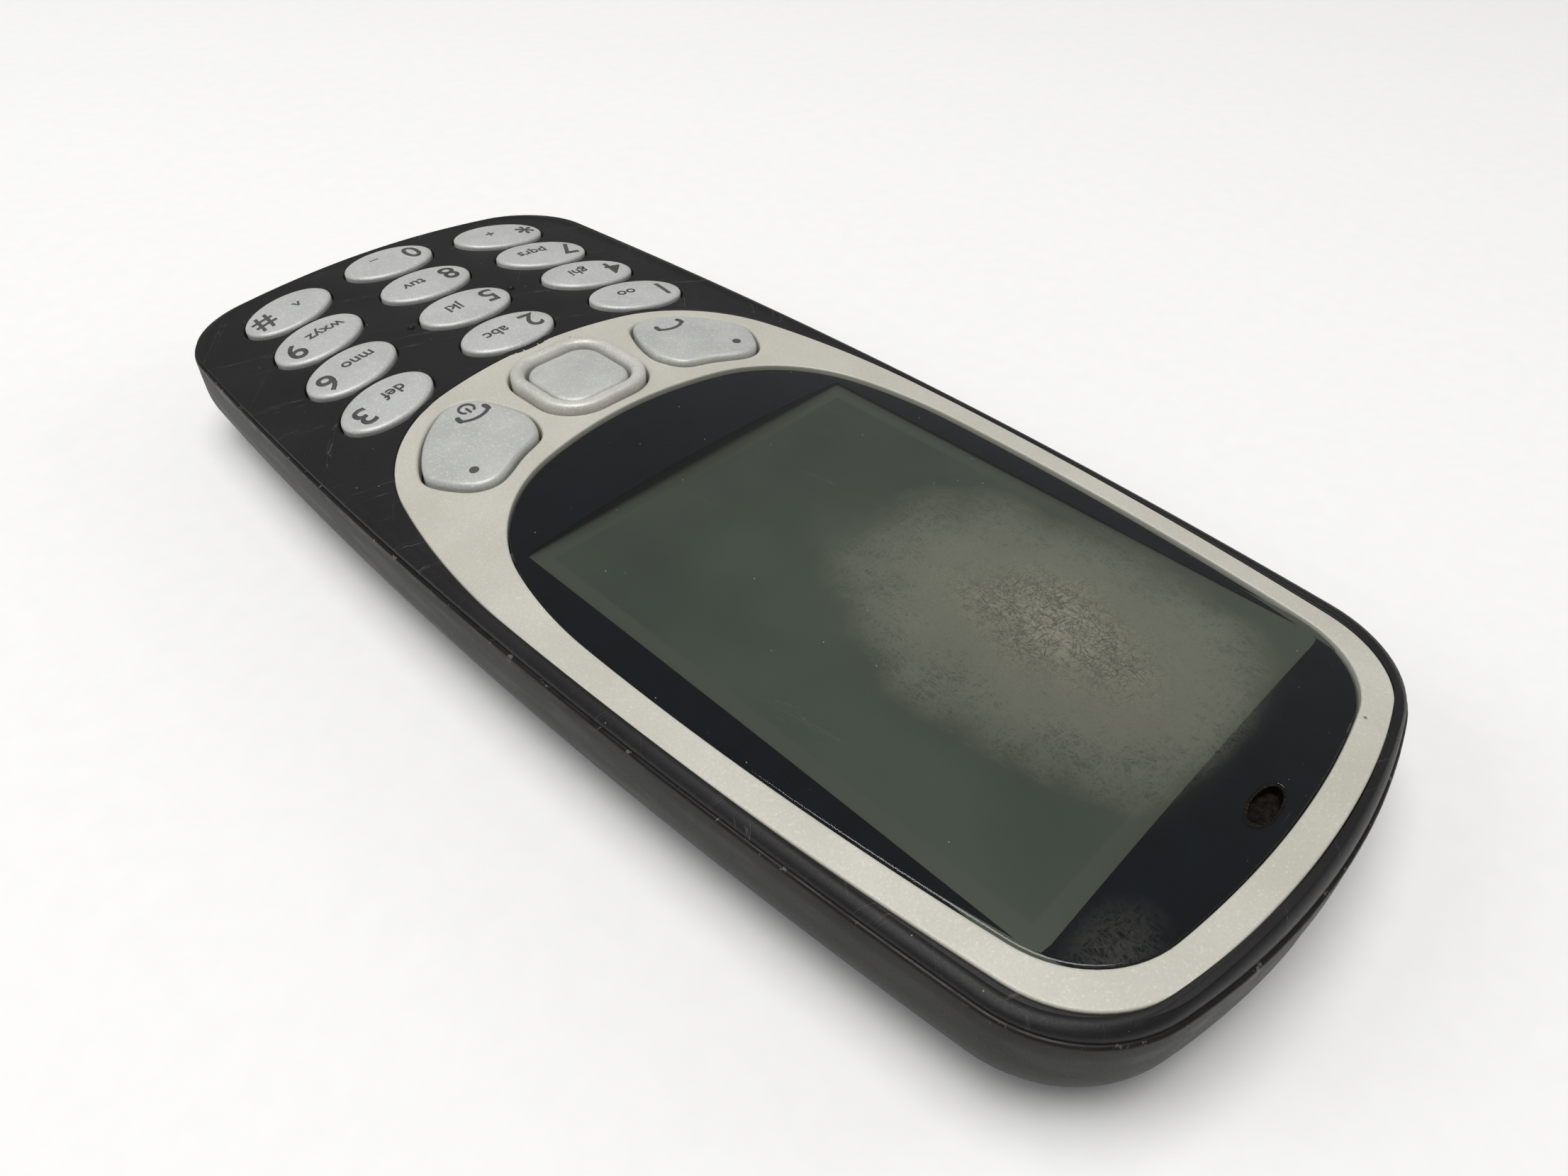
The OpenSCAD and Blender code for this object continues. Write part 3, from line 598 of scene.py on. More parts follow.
def key_paint(name, color, lighter):
    """Satin silver paint: a tight metallic grain, rubbed a little brighter where fingers press."""
    n = Nodes(name)
    fine = n.noise(9.0, 3.0, 0.6)
    flake = n.tree.nodes.new("ShaderNodeSeparateColor")
    n.link(n.cells(9.0, out="Color"), flake.inputs[0])
    tone = n.mix(n.range(n.noise(0.25), 0.35, 0.65), color, lighter)
    glint = tuple(min(1, c * 1.5) for c in lighter)
    tone = n.mix(n.range(flake.outputs[0], 0.8, 1.0, 0.0, 0.5), tone, glint)
    grime = n.range(n.noise(1.6, 5.0, 0.7), 0.62, 0.72)
    tone = n.mix(n.math("MULTIPLY", grime, 0.2), tone, (0.2, 0.18, 0.15))
    return n.done(n.principled(color=tone, metal=0.2, rough=n.range(fine, 0.3, 0.7, 0.38, 0.5), coat=0.1,
                               coat_rough=0.35, normal=n.bump(fine, 0.3, 0.015)))


def soft_patch_mask(n, cx, cy, rx, ry, soft=1.0):
    """1 in the middle of a soft, uneven patch of the window, 0 outside it."""
    d = n.vector("SUBTRACT", n.place, (cx, cy, 0))
    d = n.vector("MULTIPLY", d, (1 / rx, 1 / ry, 0.0))
    r = n.vector("LENGTH", d, (0, 0, 0))
    r = n.math("ADD", r, n.range(n.noise(0.1, 3.0), 0.0, 1.0, -0.24, 0.24))
    return n.range(r, 1.0, 1.0 - soft, 0.0, 1.0)


def window_clear():
    """Clear gloss plastic: see-through, mirror-like at grazing angles, with a pale patch of painted
    reflection and scratches gathered in it.
    """
    n = Nodes("window_clear")
    lines = hair_lines(n, 12, 2.8, 0.4, 0.05, 0.44)
    for angle, across in ((67, 3.0), (-38, 3.4), (112, 2.7), (-75, 3.6), (38, 3.1), (88, 3.9), (-12, 3.2)):
        lines = n.math("MAXIMUM", lines, hair_lines(n, angle, across, 0.5, 0.045, 0.45))
    # Painted reflection: a soft pale patch over the middle of the window, fading out towards the top of the
    # display. The same patch also sets where the scratches gather.
    painted_sheen_and_wear_patch = soft_patch_mask(n, -3.5, 34.0, 15.0, 23.0, 1.0)
    painted_sheen_and_wear_patch = n.math("MULTIPLY", painted_sheen_and_wear_patch, n.range(n.axis(1), LCD_HI[1] - 3.0, LCD_HI[1] + 0.5, 1.0, 0.08))
    corner = soft_patch_mask(n, 15.5, 50.8, 4.6, 3.0, 0.9)
    worn = n.math("MAXIMUM", n.range(painted_sheen_and_wear_patch, 0.1, 0.75, 0.0, 1.0), n.math("MULTIPLY", corner, 0.2))
    few = n.math("MULTIPLY", hair_lines(n, 80, 1.4, 0.09, 0.012, 0.62), 0.12)
    mark = n.math("MAXIMUM", n.math("MULTIPLY", lines, worn), few)
    speck = n.range(n.cells(0.55), 0.035, 0.02)
    clear = n.tree.nodes.new("ShaderNodeBsdfTransparent")
    clear.inputs["Color"].default_value = (0.93, 0.95, 0.93, 1)
    gloss = n.tree.nodes.new("ShaderNodeBsdfAnisotropic")
    gloss.inputs["Color"].default_value = (1, 1, 1, 1)
    n.link(n.range(mark, 0.0, 1.0, 0.035, 0.3), gloss.inputs["Roughness"])
    fresnel = n.tree.nodes.new("ShaderNodeFresnel")
    fresnel.inputs["IOR"].default_value = 1.49
    first = n.tree.nodes.new("ShaderNodeMixShader")
    side = n.tree.nodes.new("ShaderNodeNewGeometry")
    outer = n.math("SUBTRACT", 1.0, side.outputs["Backfacing"])
    n.link(n.math("MULTIPLY", fresnel.outputs[0], outer), first.inputs[0])
    n.link(clear.outputs[0], first.inputs[1])
    n.link(gloss.outputs[0], first.inputs[2])
    # The pale colour laid over the patch is a painted reflection; where scratch marks run, it turns dark.
    scuff = n.principled(color=n.mix(mark, (0.52, 0.51, 0.40), (0.06, 0.06, 0.045)), rough=0.6)
    second = n.tree.nodes.new("ShaderNodeMixShader")
    # How much of the pale painted reflection, the scratches and the dust specks lies over the window.
    painted_sheen_scratch_dust = n.math("MULTIPLY", n.math("POWER", painted_sheen_and_wear_patch, 1.7), 0.46)
    painted_sheen_scratch_dust = n.math("ADD", painted_sheen_scratch_dust, n.math("MULTIPLY", mark, 0.42), clamp=True)
    painted_sheen_scratch_dust = n.math("MULTIPLY", n.math("MAXIMUM", painted_sheen_scratch_dust, n.math("MULTIPLY", speck, 0.5)), outer)
    n.link(painted_sheen_scratch_dust, second.inputs[0])
    n.link(first.outputs[0], second.inputs[1])
    n.link(scuff, second.inputs[2])
    return n.done(second.outputs[0])


def lcd_surface(cx, cy, w, length):
    """Grey-green unlit display: a darker polariser edge, fine pixel rows and a slow change of tone."""
    n = Nodes("lcd_surface")
    dx = n.math("ABSOLUTE", n.math("SUBTRACT", n.axis(0), cx))
    dy = n.math("ABSOLUTE", n.math("SUBTRACT", n.axis(1), cy))
    rim = n.math("MAXIMUM", n.math("SUBTRACT", dx, w / 2), n.math("SUBTRACT", dy, length / 2))
    slow = n.noise(0.06, 2.0)
    tone = n.mix(n.range(slow, 0.35, 0.65), (0.040, 0.050, 0.040), (0.060, 0.072, 0.056))
    tone = n.mix(n.range(rim, -0.08, 0.08), tone, (0.062, 0.070, 0.056))
    rows = n.math("SINE", n.math("MULTIPLY", n.axis(1), 2 * math.pi / 0.19))
    tone = n.mix(n.range(rows, -1.0, 1.0, 0.0, 0.12), tone, (0.03, 0.035, 0.03))
    return n.done(n.principled(color=tone, rough=n.range(slow, 0.3, 0.7, 0.3, 0.38), spec=0.6))


def gloss_black(name, color=(0.004, 0.006, 0.011), spec=0.5):
    """Gloss ink: deep blue-black, with faint cloudiness and dust."""
    n = Nodes(name)
    slow = n.noise(0.3, 4.0)
    speck = n.range(n.cells(0.9), 0.035, 0.02)
    tone = n.mix(n.range(slow, 0.3, 0.7), color, tuple(c * 1.8 for c in color))
    tone = n.mix(n.math("MULTIPLY", speck, 0.5), tone, (0.4, 0.4, 0.38))
    return n.done(n.principled(color=tone, rough=n.range(slow, 0.3, 0.7, 0.08, 0.16), spec=spec))


def woven_mesh():
    """Steel cloth over the earpiece, worn through to brass-brown and clogged with dust; its near-black tone
    is partly painted shade of the deep earpiece hole.
    """
    n = Nodes("woven_mesh")
    wx = n.math("SINE", n.math("MULTIPLY", n.axis(0), 2 * math.pi / 0.22))
    wy = n.math("SINE", n.math("MULTIPLY", n.axis(1), 2 * math.pi / 0.22))
    weave = n.math("MULTIPLY", wx, wy)
    # Near-black base colour: partly the cloth's own, partly painted shade of the hole it sits in.
    tone = n.mix(n.range(n.noise(2.2, 4.0), 0.4, 0.65), (0.004, 0.0035, 0.003), (0.05, 0.033, 0.02))
    tone = n.mix(n.range(weave, -1, 1, 0.0, 0.7), tone, (0.02, 0.018, 0.015))
    return n.done(n.principled(color=tone, metal=0.6, rough=0.5, normal=n.bump(weave, 0.8, 0.08)))


INK = plastic("key_ink", (0.062, 0.063, 0.066), 0.55, 12.0, 0.01, 0.15, 0.0)
MAT = {
    "front_plastic": front_plastic(),
    "back_plastic": back_plastic(),
    "bezel_paint": bezel_paint(),
    "key_plastic": key_paint("key_plastic", (0.50, 0.51, 0.50), (0.56, 0.57, 0.56)),
    "nav_plastic": key_paint("nav_plastic", (0.48, 0.49, 0.475), (0.55, 0.56, 0.54)),
    "scroll_plastic": key_paint("scroll_plastic", (0.54, 0.535, 0.50), (0.62, 0.615, 0.58)),
    "window": gloss_black("window"),
    "mask_ink": gloss_black("mask_ink", (0.0025, 0.004, 0.006), 0.08),
    "mesh": woven_mesh(),
    "inner_plastic": plastic("inner_plastic", (0.017, 0.017, 0.019), 0.5),
    "rubber": plastic("rubber", (0.045, 0.04, 0.036), 0.7, 5.0, 0.03, 0.2, 0.6),
    "steel": metal("steel", (0.62, 0.63, 0.65), 0.32),
    "display_glass": lcd_surface(0.0, (LCD_LO[1] + LCD_HI[1]) / 2, PIXELS_W, PIXELS_L),
    "white_plastic": plastic("white_plastic", (0.72, 0.73, 0.74), 0.45),
    "copper": metal("copper", (0.62, 0.3, 0.14), 0.35),
    "brass": metal("brass", (0.86, 0.66, 0.3), 0.28),
    "board": plastic("board", (0.012, 0.1, 0.045), 0.35, 3.0, 0.02, 0.2, 0.1, 0.3),
    "lamp": plastic("lamp", (0.8, 0.66, 0.15), 0.35),
    "battery_wrap": plastic("battery_wrap", (0.03, 0.032, 0.04), 0.42, 2.5, 0.03),
    "label": plastic("label", (0.72, 0.7, 0.64), 0.65, 6.0, 0.02),
    "lens": plastic("lens", (0.78, 0.76, 0.68), 0.2, 1.5, 0.03, 0.05, 0.1, 0.6),
}
for item in frame["record"]["subparts"]:
    node = frame["nodes"][item["node"]]
    node.data.materials.clear()
    node.data.materials.append(MAT[item["material_slot"]])

# ---------------- outlines of the big pieces
back_p, back_n = outline(BODY_W, back_lo[1], HALF_L, widest=-1.8, end_r=59, corner_r=10.3, up_r=490,
                         down_r=590, low_corner_r=9.3, low_r=119)
ring_p, ring_n = outline(RING_W, RING_LO, RING_HI, widest=RING_HI - 52.1, end_r=66, corner_r=9.1, up_r=315,
                         down_r=72, low_corner_r=15, low_r=50, step=0.9)
win_p, win_n = outline(WIN_W, WIN_LO, WIN_HI, widest=WIN_HI - 43.5, end_r=68, corner_r=8.2, up_r=260,
                       down_r=39, low_corner_r=13.7, low_r=42, step=0.9)


def key_spot(row, col):
    """Centre of a number key: the outer columns close in towards the low end and stand a little higher."""
    x = col * (KEY_COLUMN_X - KEY_COLUMN_IN * row / 3)
    return x, -HALF_L + KEY_FIRST + (3 - row) * KEY_PITCH + (KEY_SMILE if col else 0)


# Outline of the right-hand rocker's hole, from the keypad end
ROCKER = [(7.35, 43.2), (7.45, 41.0), (8.35, 38.2), (9.6, 36.15), (11.8, 35.6), (14.2, 36.6), (16.6, 38.7),
          (18.5, 41.4), (19.05, 43.6), (17.9, 46.2), (16.4, 47.8), (14.4, 48.15), (11.3, 46.75), (8.5, 45.6)]


def rocker_hole(side):
    knots = [(x, y - HALF_L) for x, y in ROCKER]
    if side < 0:
        knots = [(-x, y) for x, y in reversed(knots)]
    return smooth_loop(knots)


SCROLL_HOLE = round_rect(0, NAV_Y, 11.9, 12.1, 4.3)


def down(depth):
    return lambda x, y: face_z(x, y) - depth


# ---------------- front cover
def front_cover():
    rim_p = back_p - back_n * RIM_STEP
    wall_z, seam = 10.15, SEAM_Z + 0.05
    top_in = 1.1  # how far the rounded rim reaches over the face
    edge = []
    for k in range(8):
        a = math.pi / 2 * k / 7
        edge.append((-top_in * (1 - math.sin(a)),
                     lambda x, y, a=a: wall_z + (face_z(x * 0.96, y * 0.98) - wall_z) * math.cos(a)))
    edge[0] = (-top_in, face_z)
    edge += [(0.0, lambda x, y: np.full(np.shape(x), seam)), (-1.2, lambda x, y: np.full(np.shape(x), seam)),
             (-1.25, down(1.5))]
    holes = [(ring_p + ring_n * 0.06, -ring_n, bevel(0.12, face_z, down(1.5)))]
    for row in range(4):
        for col in (-1, 0, 1):
            x, y = key_spot(row, col)
            p, m = oval(x, y, KEY_L + 2 * KEY_HOLE, KEY_W + 2 * KEY_HOLE, KEY_TURN * col)
            holes.append((p, -m, bevel(0.14, face_z, down(1.5))))
    verts, faces = shell((rim_p, back_n, edge), holes, face_z, down(1.5))
    put("front_shell", verts, faces, "phone", MAT["front_plastic"], "front_plastic", ["front_cover"])


def deck():
    """The dark plate under the bezel, seen down the gaps round the rockers and the scroll key."""
    p, m = ring_p - ring_n * 0.6, ring_n
    top, low = down(2.3), down(2.5)
    flat = [(0.0, top), (0.0, low)]
    q, k = round_rect(0, NAV_Y, 14.2, 14.2, 5.2)
    holes = [(win_p - win_n * 1.0, -win_n, flat), (q, -k, flat)]
    verts, faces = shell((p, m, flat), holes, top, low, 2.2)
    put("key_seal", verts, faces, "phone", MAT["rubber"], "rubber")


def bezel():
    edge = bevel(0.16, face_z, down(1.0))
    holes = [(win_p + win_n * 0.12, -win_n, bevel(0.16, face_z, down(1.0)))]
    for p, m in (SCROLL_HOLE, rocker_hole(1), rocker_hole(-1)):
        holes.append((p, -m, bevel(0.3, face_z, down(1.7))))
    verts, faces = shell((ring_p, ring_n, edge), holes, face_z, down(1.0), 0.7)
    put("bezel", verts, faces, "phone", MAT["bezel_paint"], "bezel_paint", ["bezel_ring"])


# ---------------- window, mask, display and earpiece
WIN_SINK = 0.1
CY = (LCD_LO[1] + LCD_HI[1]) / 2


def window():
    ear = oval(EAR[0], EAR[1], 4.1, 1.9, n=48)
    top, low = down(WIN_SINK), down(WIN_SINK + 0.3)
    ear_edge = (ear[0], -ear[1], bevel(0.1, top, low))
    verts, faces = shell((win_p, win_n, bevel(0.12, top, low)), [ear_edge], top, low)
    put("window_lens", verts, faces, "phone", window_clear(), "window", ["display_window"])
    top, low = down(WIN_SINK + 0.34), down(WIN_SINK + 0.44)
    sheer = [(0.0, top), (0.0, low)]
    gap = round_rect(0, CY, VIEW_W, VIEW_L, 0.25, 4, 40)
    limit = win_p - win_n * 0.45
    # The opening's corners would cross the window's edge, so they are drawn in until they clear it
    for _ in range(60):
        out = ~inside(gap[0], limit)
        gap[0][out] = (gap[0][out] - [0, CY]) * 0.997 + [0, CY]
    ear = oval(EAR[0], EAR[1], 4.3, 2.1, n=48)
    holes = [(gap[0], -gap[1], sheer), (ear[0], -ear[1], sheer)]
    verts, faces = shell((win_p - win_n * 0.1, win_n, sheer), holes, top, low, 1.6)
    put("window_mask", verts, faces, "phone", MAT["mask_ink"], "window")
    z1 = FACE_H - 1.72
    size = 2 * LCD_HI[0], LCD_HI[1] - LCD_LO[1]
    rings = [at(round_rect(0, CY, size[0] - i, size[1] - i, 0.3)[0], z) for i, z in
             ((0.4, LCD_LO[2]), (0, LCD_LO[2] + 0.1), (0, z1 - 0.08), (0.16, z1))]
    put("display_glass", *loft(rings), "phone", MAT["display_glass"], "display_glass", ["display_panel"],
        sharp=20.0)


def earpiece():
    z = float(face_z(*EAR)) - 1.05
    p = oval(0, 0, 4.7, 2.4, n=48)[0]
    rings = [at(p * s + EAR, z + h) for s, h in ((1, -0.3), (1, -0.04), (0.97, 0), (0.7, 0.05), (0.35, 0.08))]
    put("earpiece_grille", *loft(rings), "phone", MAT["mesh"], "mesh", ["earpiece_mesh"])
    # The lip shares the near-black cloth colour, so it too carries painted shade of the hole.
    lip = []
    z += 0.3
    for grow, h in ((0.0, -0.5), (0.0, 0.55), (0.08, 0.6), (0.16, 0.55), (0.16, -0.5)):
        q, m = oval(EAR[0], EAR[1], 3.8, 1.6, n=48)
        lip.append(at(q + m * grow, z + h))
    put("earpiece_lip", *loft(lip, closed=True), "phone", MAT["mesh"], "mesh")


# ---------------- number keys and their print
DOME = 0.6
EDGE = 0.42
KNEE = 0.86


def dome(rho):
    """Height of a key's top above the face, by share of the way to its edge."""
    rho = min(1.0, rho)
    if rho < KNEE:
        return EDGE + (DOME - EDGE) * (1 - (rho / KNEE) ** 2)
    a = math.asin((rho - KNEE) / (1 - KNEE))
    return EDGE - 0.36 * (1 - math.cos(a))


def key_cap(name, row, col):
    x, y = key_spot(row, col)
    place = on_face(x, y) @ Matrix.Rotation(math.radians(KEY_TURN * col), 4, "Z")
    rhos = [0.12, 0.28, 0.45, 0.62, 0.76, KNEE] + [KNEE + (1 - KNEE) * math.sin(math.radians(a))
                                                  for a in (20, 40, 60, 75, 90)]
    rings = [at(oval(0, 0, KEY_L * r, KEY_W * r)[0], dome(r)) for r in rhos]
    for grow_l, grow_w, z in ((0, 0, -1.62), (1.5, 0.15, -1.64), (1.5, 0.15, -1.98), (-4, -2.5, -2.0)):
        rings.append(at(oval(0, 0, KEY_L + grow_l, KEY_W + grow_w)[0], z))
    put(name + "_cap", *loft(rings), name + "_cap", MAT["key_plastic"], "key_plastic", [name], matrix=place)
    return place


def text_mesh(text, size):
    curve = bpy.data.curves.new("print", "FONT")
    curve.body, curve.size = text, size
    curve.align_x, curve.align_y = "CENTER", "CENTER"
    curve.resolution_u = 4
    curve.offset = 0.011 * size
    obj = bpy.data.objects.new("print", curve)
    bpy.context.scene.collection.objects.link(obj)
    mesh = bpy.data.meshes.new_from_object(obj.evaluated_get(bpy.context.evaluated_depsgraph_get()))
    bpy.data.objects.remove(obj)
    bm = bmesh.new()
    bm.from_mesh(mesh)
    bpy.data.meshes.remove(mesh)
    bmesh.ops.remove_doubles(bm, verts=bm.verts, dist=1e-4)
    bmesh.ops.triangulate(bm, faces=bm.faces)
    for _ in range(3):
        long = [e for e in bm.edges if e.calc_length() > 0.55]
        if not long:
            break
        bmesh.ops.subdivide_edges(bm, edges=long, cuts=1)
        bmesh.ops.triangulate(bm, faces=bm.faces)
    return bm


def print_on(bm_parts, name, body, height, place):
    """Thin raised ink: each letter's points are set on the surface's own height, then given a thickness."""
    out = bmesh.new()
    for bm, dx, dy, turn in bm_parts:
        spin = Matrix.Rotation(math.radians(turn), 3, "Z")
        bmesh.ops.rotate(bm, verts=bm.verts, cent=(0, 0, 0), matrix=spin)
        bmesh.ops.translate(bm, verts=bm.verts, vec=(dx, dy, 0))
        mesh = bpy.data.meshes.new("part")
        bm.to_mesh(mesh)
        out.from_mesh(mesh)
        bpy.data.meshes.remove(mesh)
        bm.free()
    for v in out.verts:
        v.co.z = height(v.co.x, v.co.y) + 0.012
    made = bmesh.ops.extrude_face_region(out, geom=list(out.faces))
    raised = [g for g in made["geom"] if isinstance(g, bmesh.types.BMVert)]
    bmesh.ops.translate(out, verts=raised, vec=(0, 0, 0.02))
    bmesh.ops.recalc_face_normals(out, faces=out.faces)
    bmesh.ops.transform(out, matrix=place, verts=out.verts)
    bmesh.ops.scale(out, vec=(MM, MM, MM), verts=out.verts)
    mesh = bpy.data.meshes.new(name)
    out.to_mesh(mesh)
    out.free()
    return settle(bpy.data.objects.new(name, mesh), body, INK)


def key_height(x, y):
    return dome(math.hypot(x / (KEY_L / 2), y / (KEY_W / 2)))


KEYS = [f"key_{i}" for i in range(1, 10)] + ["key_star", "key_0", "key_hash"]
DIGITS = ["1", "2", "3", "4", "5", "6", "7", "8", "9", "*", "0", "#"]
LETTERS = ["oo", "abc", "def", "ghi", "jkl", "mno", "pqrs", "tuv", "wxyz", "+", "_", "^"]


def number_keys():
    for i, name in enumerate(KEYS):
        row, col = i // 3, i % 3 - 1
        place = key_cap(name, row, col)
        digit_x = (-3.1, -2.9, 3.0)[col + 1]
        letter_x = (0.9, 1.2, -1.2)[col + 1]
        turn = -KEY_TURN * col * 0.6
        size = 3.9 if DIGITS[i] != "*" else 4.8
        drop = -0.1 if DIGITS[i] != "*" else -1.0
        parts = [(text_mesh(DIGITS[i], size), digit_x, drop, turn),
                 (text_mesh(LETTERS[i], 2.0), letter_x, -0.1, turn)]
        print_on(parts, name + "_print", name + "_cap", key_height, place)


def finger_nubs():
    """Two small raised dots on the face beside key 5."""
    x5, y5 = key_spot(1, 0)
    for side in (-1, 1):
        rings = [at(oval(0, 0, 2 * r, 2 * r, n=20)[0], h) for r, h in
                 ((0.05, 0.3), (0.2, 0.27), (0.33, 0.16), (0.4, 0.0), (0.4, -0.1))]
        name = "nub_left" if side < 0 else "nub_right"
        put(name, *loft(rings), "phone", MAT["front_plastic"], "front_plastic",
            matrix=on_face(x5 + side * 6.1, y5 - 0.6))


# ---------------- navigation keys
def scroll_ring():
    low, top = SCROLL_TOP - 2.5, SCROLL_TOP
    w, length, r = 11.3, 11.5, 4.0
    hole = 8.6
    section = [(0.0, low), (0.0, top - 0.42), (0.06, top - 0.24), (0.18, top - 0.1), (0.38, top - 0.02),
               (0.6, top), (0.8, top - 0.01)]
    rings = [at(round_rect(0, NAV_Y, w - 2 * i, length - 2 * i, r - i)[0], z) for i, z in section]
    inner = [(0.45, top - 0.03), (0.3, top - 0.1), (0.14, top - 0.25), (0.04, top - 0.42),
             (0.0, top - 0.6), (0.0, low)]
    rings += [at(round_rect(0, NAV_Y, hole + 2 * i, hole + 2 * i, 2.5 + i)[0], z) for i, z in inner]
    put("scroll_frame", *loft(rings, closed=True), "scroll", MAT["scroll_plastic"], "scroll_plastic",
        ["scroll_ring"])


def centre_key():
    top = SCROLL_TOP - 0.42
    section = [(0.0, top - 2.4), (0.0, top - 0.45), (0.07, top - 0.22), (0.22, top - 0.08), (0.5, top - 0.01),
               (1.2, top + 0.02), (2.4, top + 0.05), (3.4, top + 0.06)]
    side = 8
    rings = [at(round_rect(0, NAV_Y, side - 2 * i, side - 2 * i, max(0.3, 2.3 - 0.6 * i))[0], z)
             for i, z in section]
    put("select_key", *loft(rings), "centre_key_cap", MAT["nav_plastic"], "nav_plastic", ["centre_key"])


def gimbal():
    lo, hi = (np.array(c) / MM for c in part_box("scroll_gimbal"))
    w, length = hi[0] - lo[0], hi[1] - lo[1]
    rings = [at(round_rect(0, NAV_Y, w - 2 * i, length - 2 * i, 4.8 - i)[0], z) for i, z in
             ((0, lo[2] + 0.05), (0, hi[2] - 0.05), (0.05, hi[2]))]
    rings += [at(round_rect(0, NAV_Y, w - 2.2 + i, length - 2.2 + i, 3.4)[0], z) for i, z in
              ((0.1, hi[2]), (0, hi[2] - 0.05), (0, lo[2] + 0.05), (0.1, lo[2]))]
    rings.append(at(round_rect(0, NAV_Y, w - 0.1, length - 0.1, 4.7)[0], lo[2]))
    put("tilt_frame", *loft(rings, closed=True), "gimbal", MAT["inner_plastic"], "inner_plastic",
        ["scroll_gimbal"])


def rocker_height(x, y):
    return face_z(x, y) + 0.42


def rocker(side, name, body):
    p, m = rocker_hole(side)
    p = p - m * NAV_GAP
    mid = p.mean(0)
    rings = [at(p, rocker_height(p[:, 0], p[:, 1]) - 2.4)]
    for inset, drop in ((0.0, 0.5), (0.05, 0.26), (0.16, 0.11), (0.34, 0.02), (0.55, 0.0)):
        q = p - m * inset
        rings.append(at(q, rocker_height(q[:, 0], q[:, 1]) - drop))
    base = p - m * 0.55
    for s in (0.85, 0.65, 0.42, 0.2, 0.06):
        q = mid + (base - mid) * s
        rings.append(at(q, rocker_height(q[:, 0], q[:, 1]) + 0.05 * (1 - s)))
    put(name + "_pad", *loft(rings), body, MAT["nav_plastic"], "nav_plastic", [name])


def tube_path(points, radius):
    """A flat ink stroke along given points, with round ends."""
    pts = np.array(points, float)
    tan = np.gradient(pts, axis=0)
    tan /= np.linalg.norm(tan, axis=1)[:, None]
    nrm = np.stack([-tan[:, 1], tan[:, 0]], 1)
    left, right = pts + nrm * radius, pts - nrm * radius

    def round_end(p, a):
        steps = (0.5, 1.05, 1.57, 2.1, 2.6)
        return [p + radius * np.array([math.cos(a - t), math.sin(a - t)]) for t in steps]

    end = round_end(pts[-1], math.atan2(nrm[-1][1], nrm[-1][0]))
    start = round_end(pts[0], math.atan2(-nrm[0][1], -nrm[0][0]))
    bm = bmesh.new()
    bm.faces.new([bm.verts.new((q[0], q[1], 0)) for q in list(left) + end + list(right[::-1]) + start])
    bmesh.ops.triangulate(bm, faces=bm.faces)
    return bm


def arc_points(cx, cy, r, a0, a1, n=14):
    t = np.radians(np.linspace(a0, a1, n))
    return np.stack([cx + r * np.cos(t), cy + r * np.sin(t)], 1)


def rocker_print():
    for side, name, body in ((1, "right_rocker", "right_rocker_key"), (-1, "left_rocker", "left_rocker_key")):
        y = 39.3 - HALF_L
        x = side * (10.9 if side > 0 else 12.6)
        parts = [(tube_path(arc_points(x, y - 2.0, 2.2, 48, 132), 0.16), 0, 0, 0)]
        for s in (-1, 1):
            ex, ey = x + s * 1.47, y - 0.36
            hook = [(ex, ey), (ex + s * 0.02, ey - 0.3), (ex - s * 0.05, ey - 0.6)]
            parts.append((tube_path(hook, 0.24), 0, 0, 0))
        if side > 0:
            ring = arc_points(x, y - 1.7, 0.72, 130, 410, 22)
            parts.append((tube_path(ring, 0.12), 0, 0, 0))
            parts.append((tube_path([(x, y - 1.0), (x, y - 1.3), (x, y - 1.7)], 0.12), 0, 0, 0))
        dot = arc_points(side * 15.5, 45.6 - HALF_L, 0.001, 0, 90, 3) + [[0, 0], [0.02, 0], [0.04, 0]]
        parts.append((tube_path(dot, 0.42), 0, 0, 0))
        print_on(parts, name + "_print", body, lambda px, py: float(rocker_height(px, py)) + 0.035,
                 Matrix.Identity(4))


# ---------------- back shell
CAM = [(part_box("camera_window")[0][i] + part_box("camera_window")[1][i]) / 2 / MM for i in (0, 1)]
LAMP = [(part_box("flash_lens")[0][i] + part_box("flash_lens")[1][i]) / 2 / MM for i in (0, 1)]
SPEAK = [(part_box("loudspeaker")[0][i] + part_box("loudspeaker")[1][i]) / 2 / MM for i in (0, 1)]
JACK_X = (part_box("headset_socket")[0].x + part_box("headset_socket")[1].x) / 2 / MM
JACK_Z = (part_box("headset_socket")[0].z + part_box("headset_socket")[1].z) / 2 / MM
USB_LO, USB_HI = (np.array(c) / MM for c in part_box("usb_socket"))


def flat_at(z):
    return lambda x, y: np.full(np.shape(x), float(z))


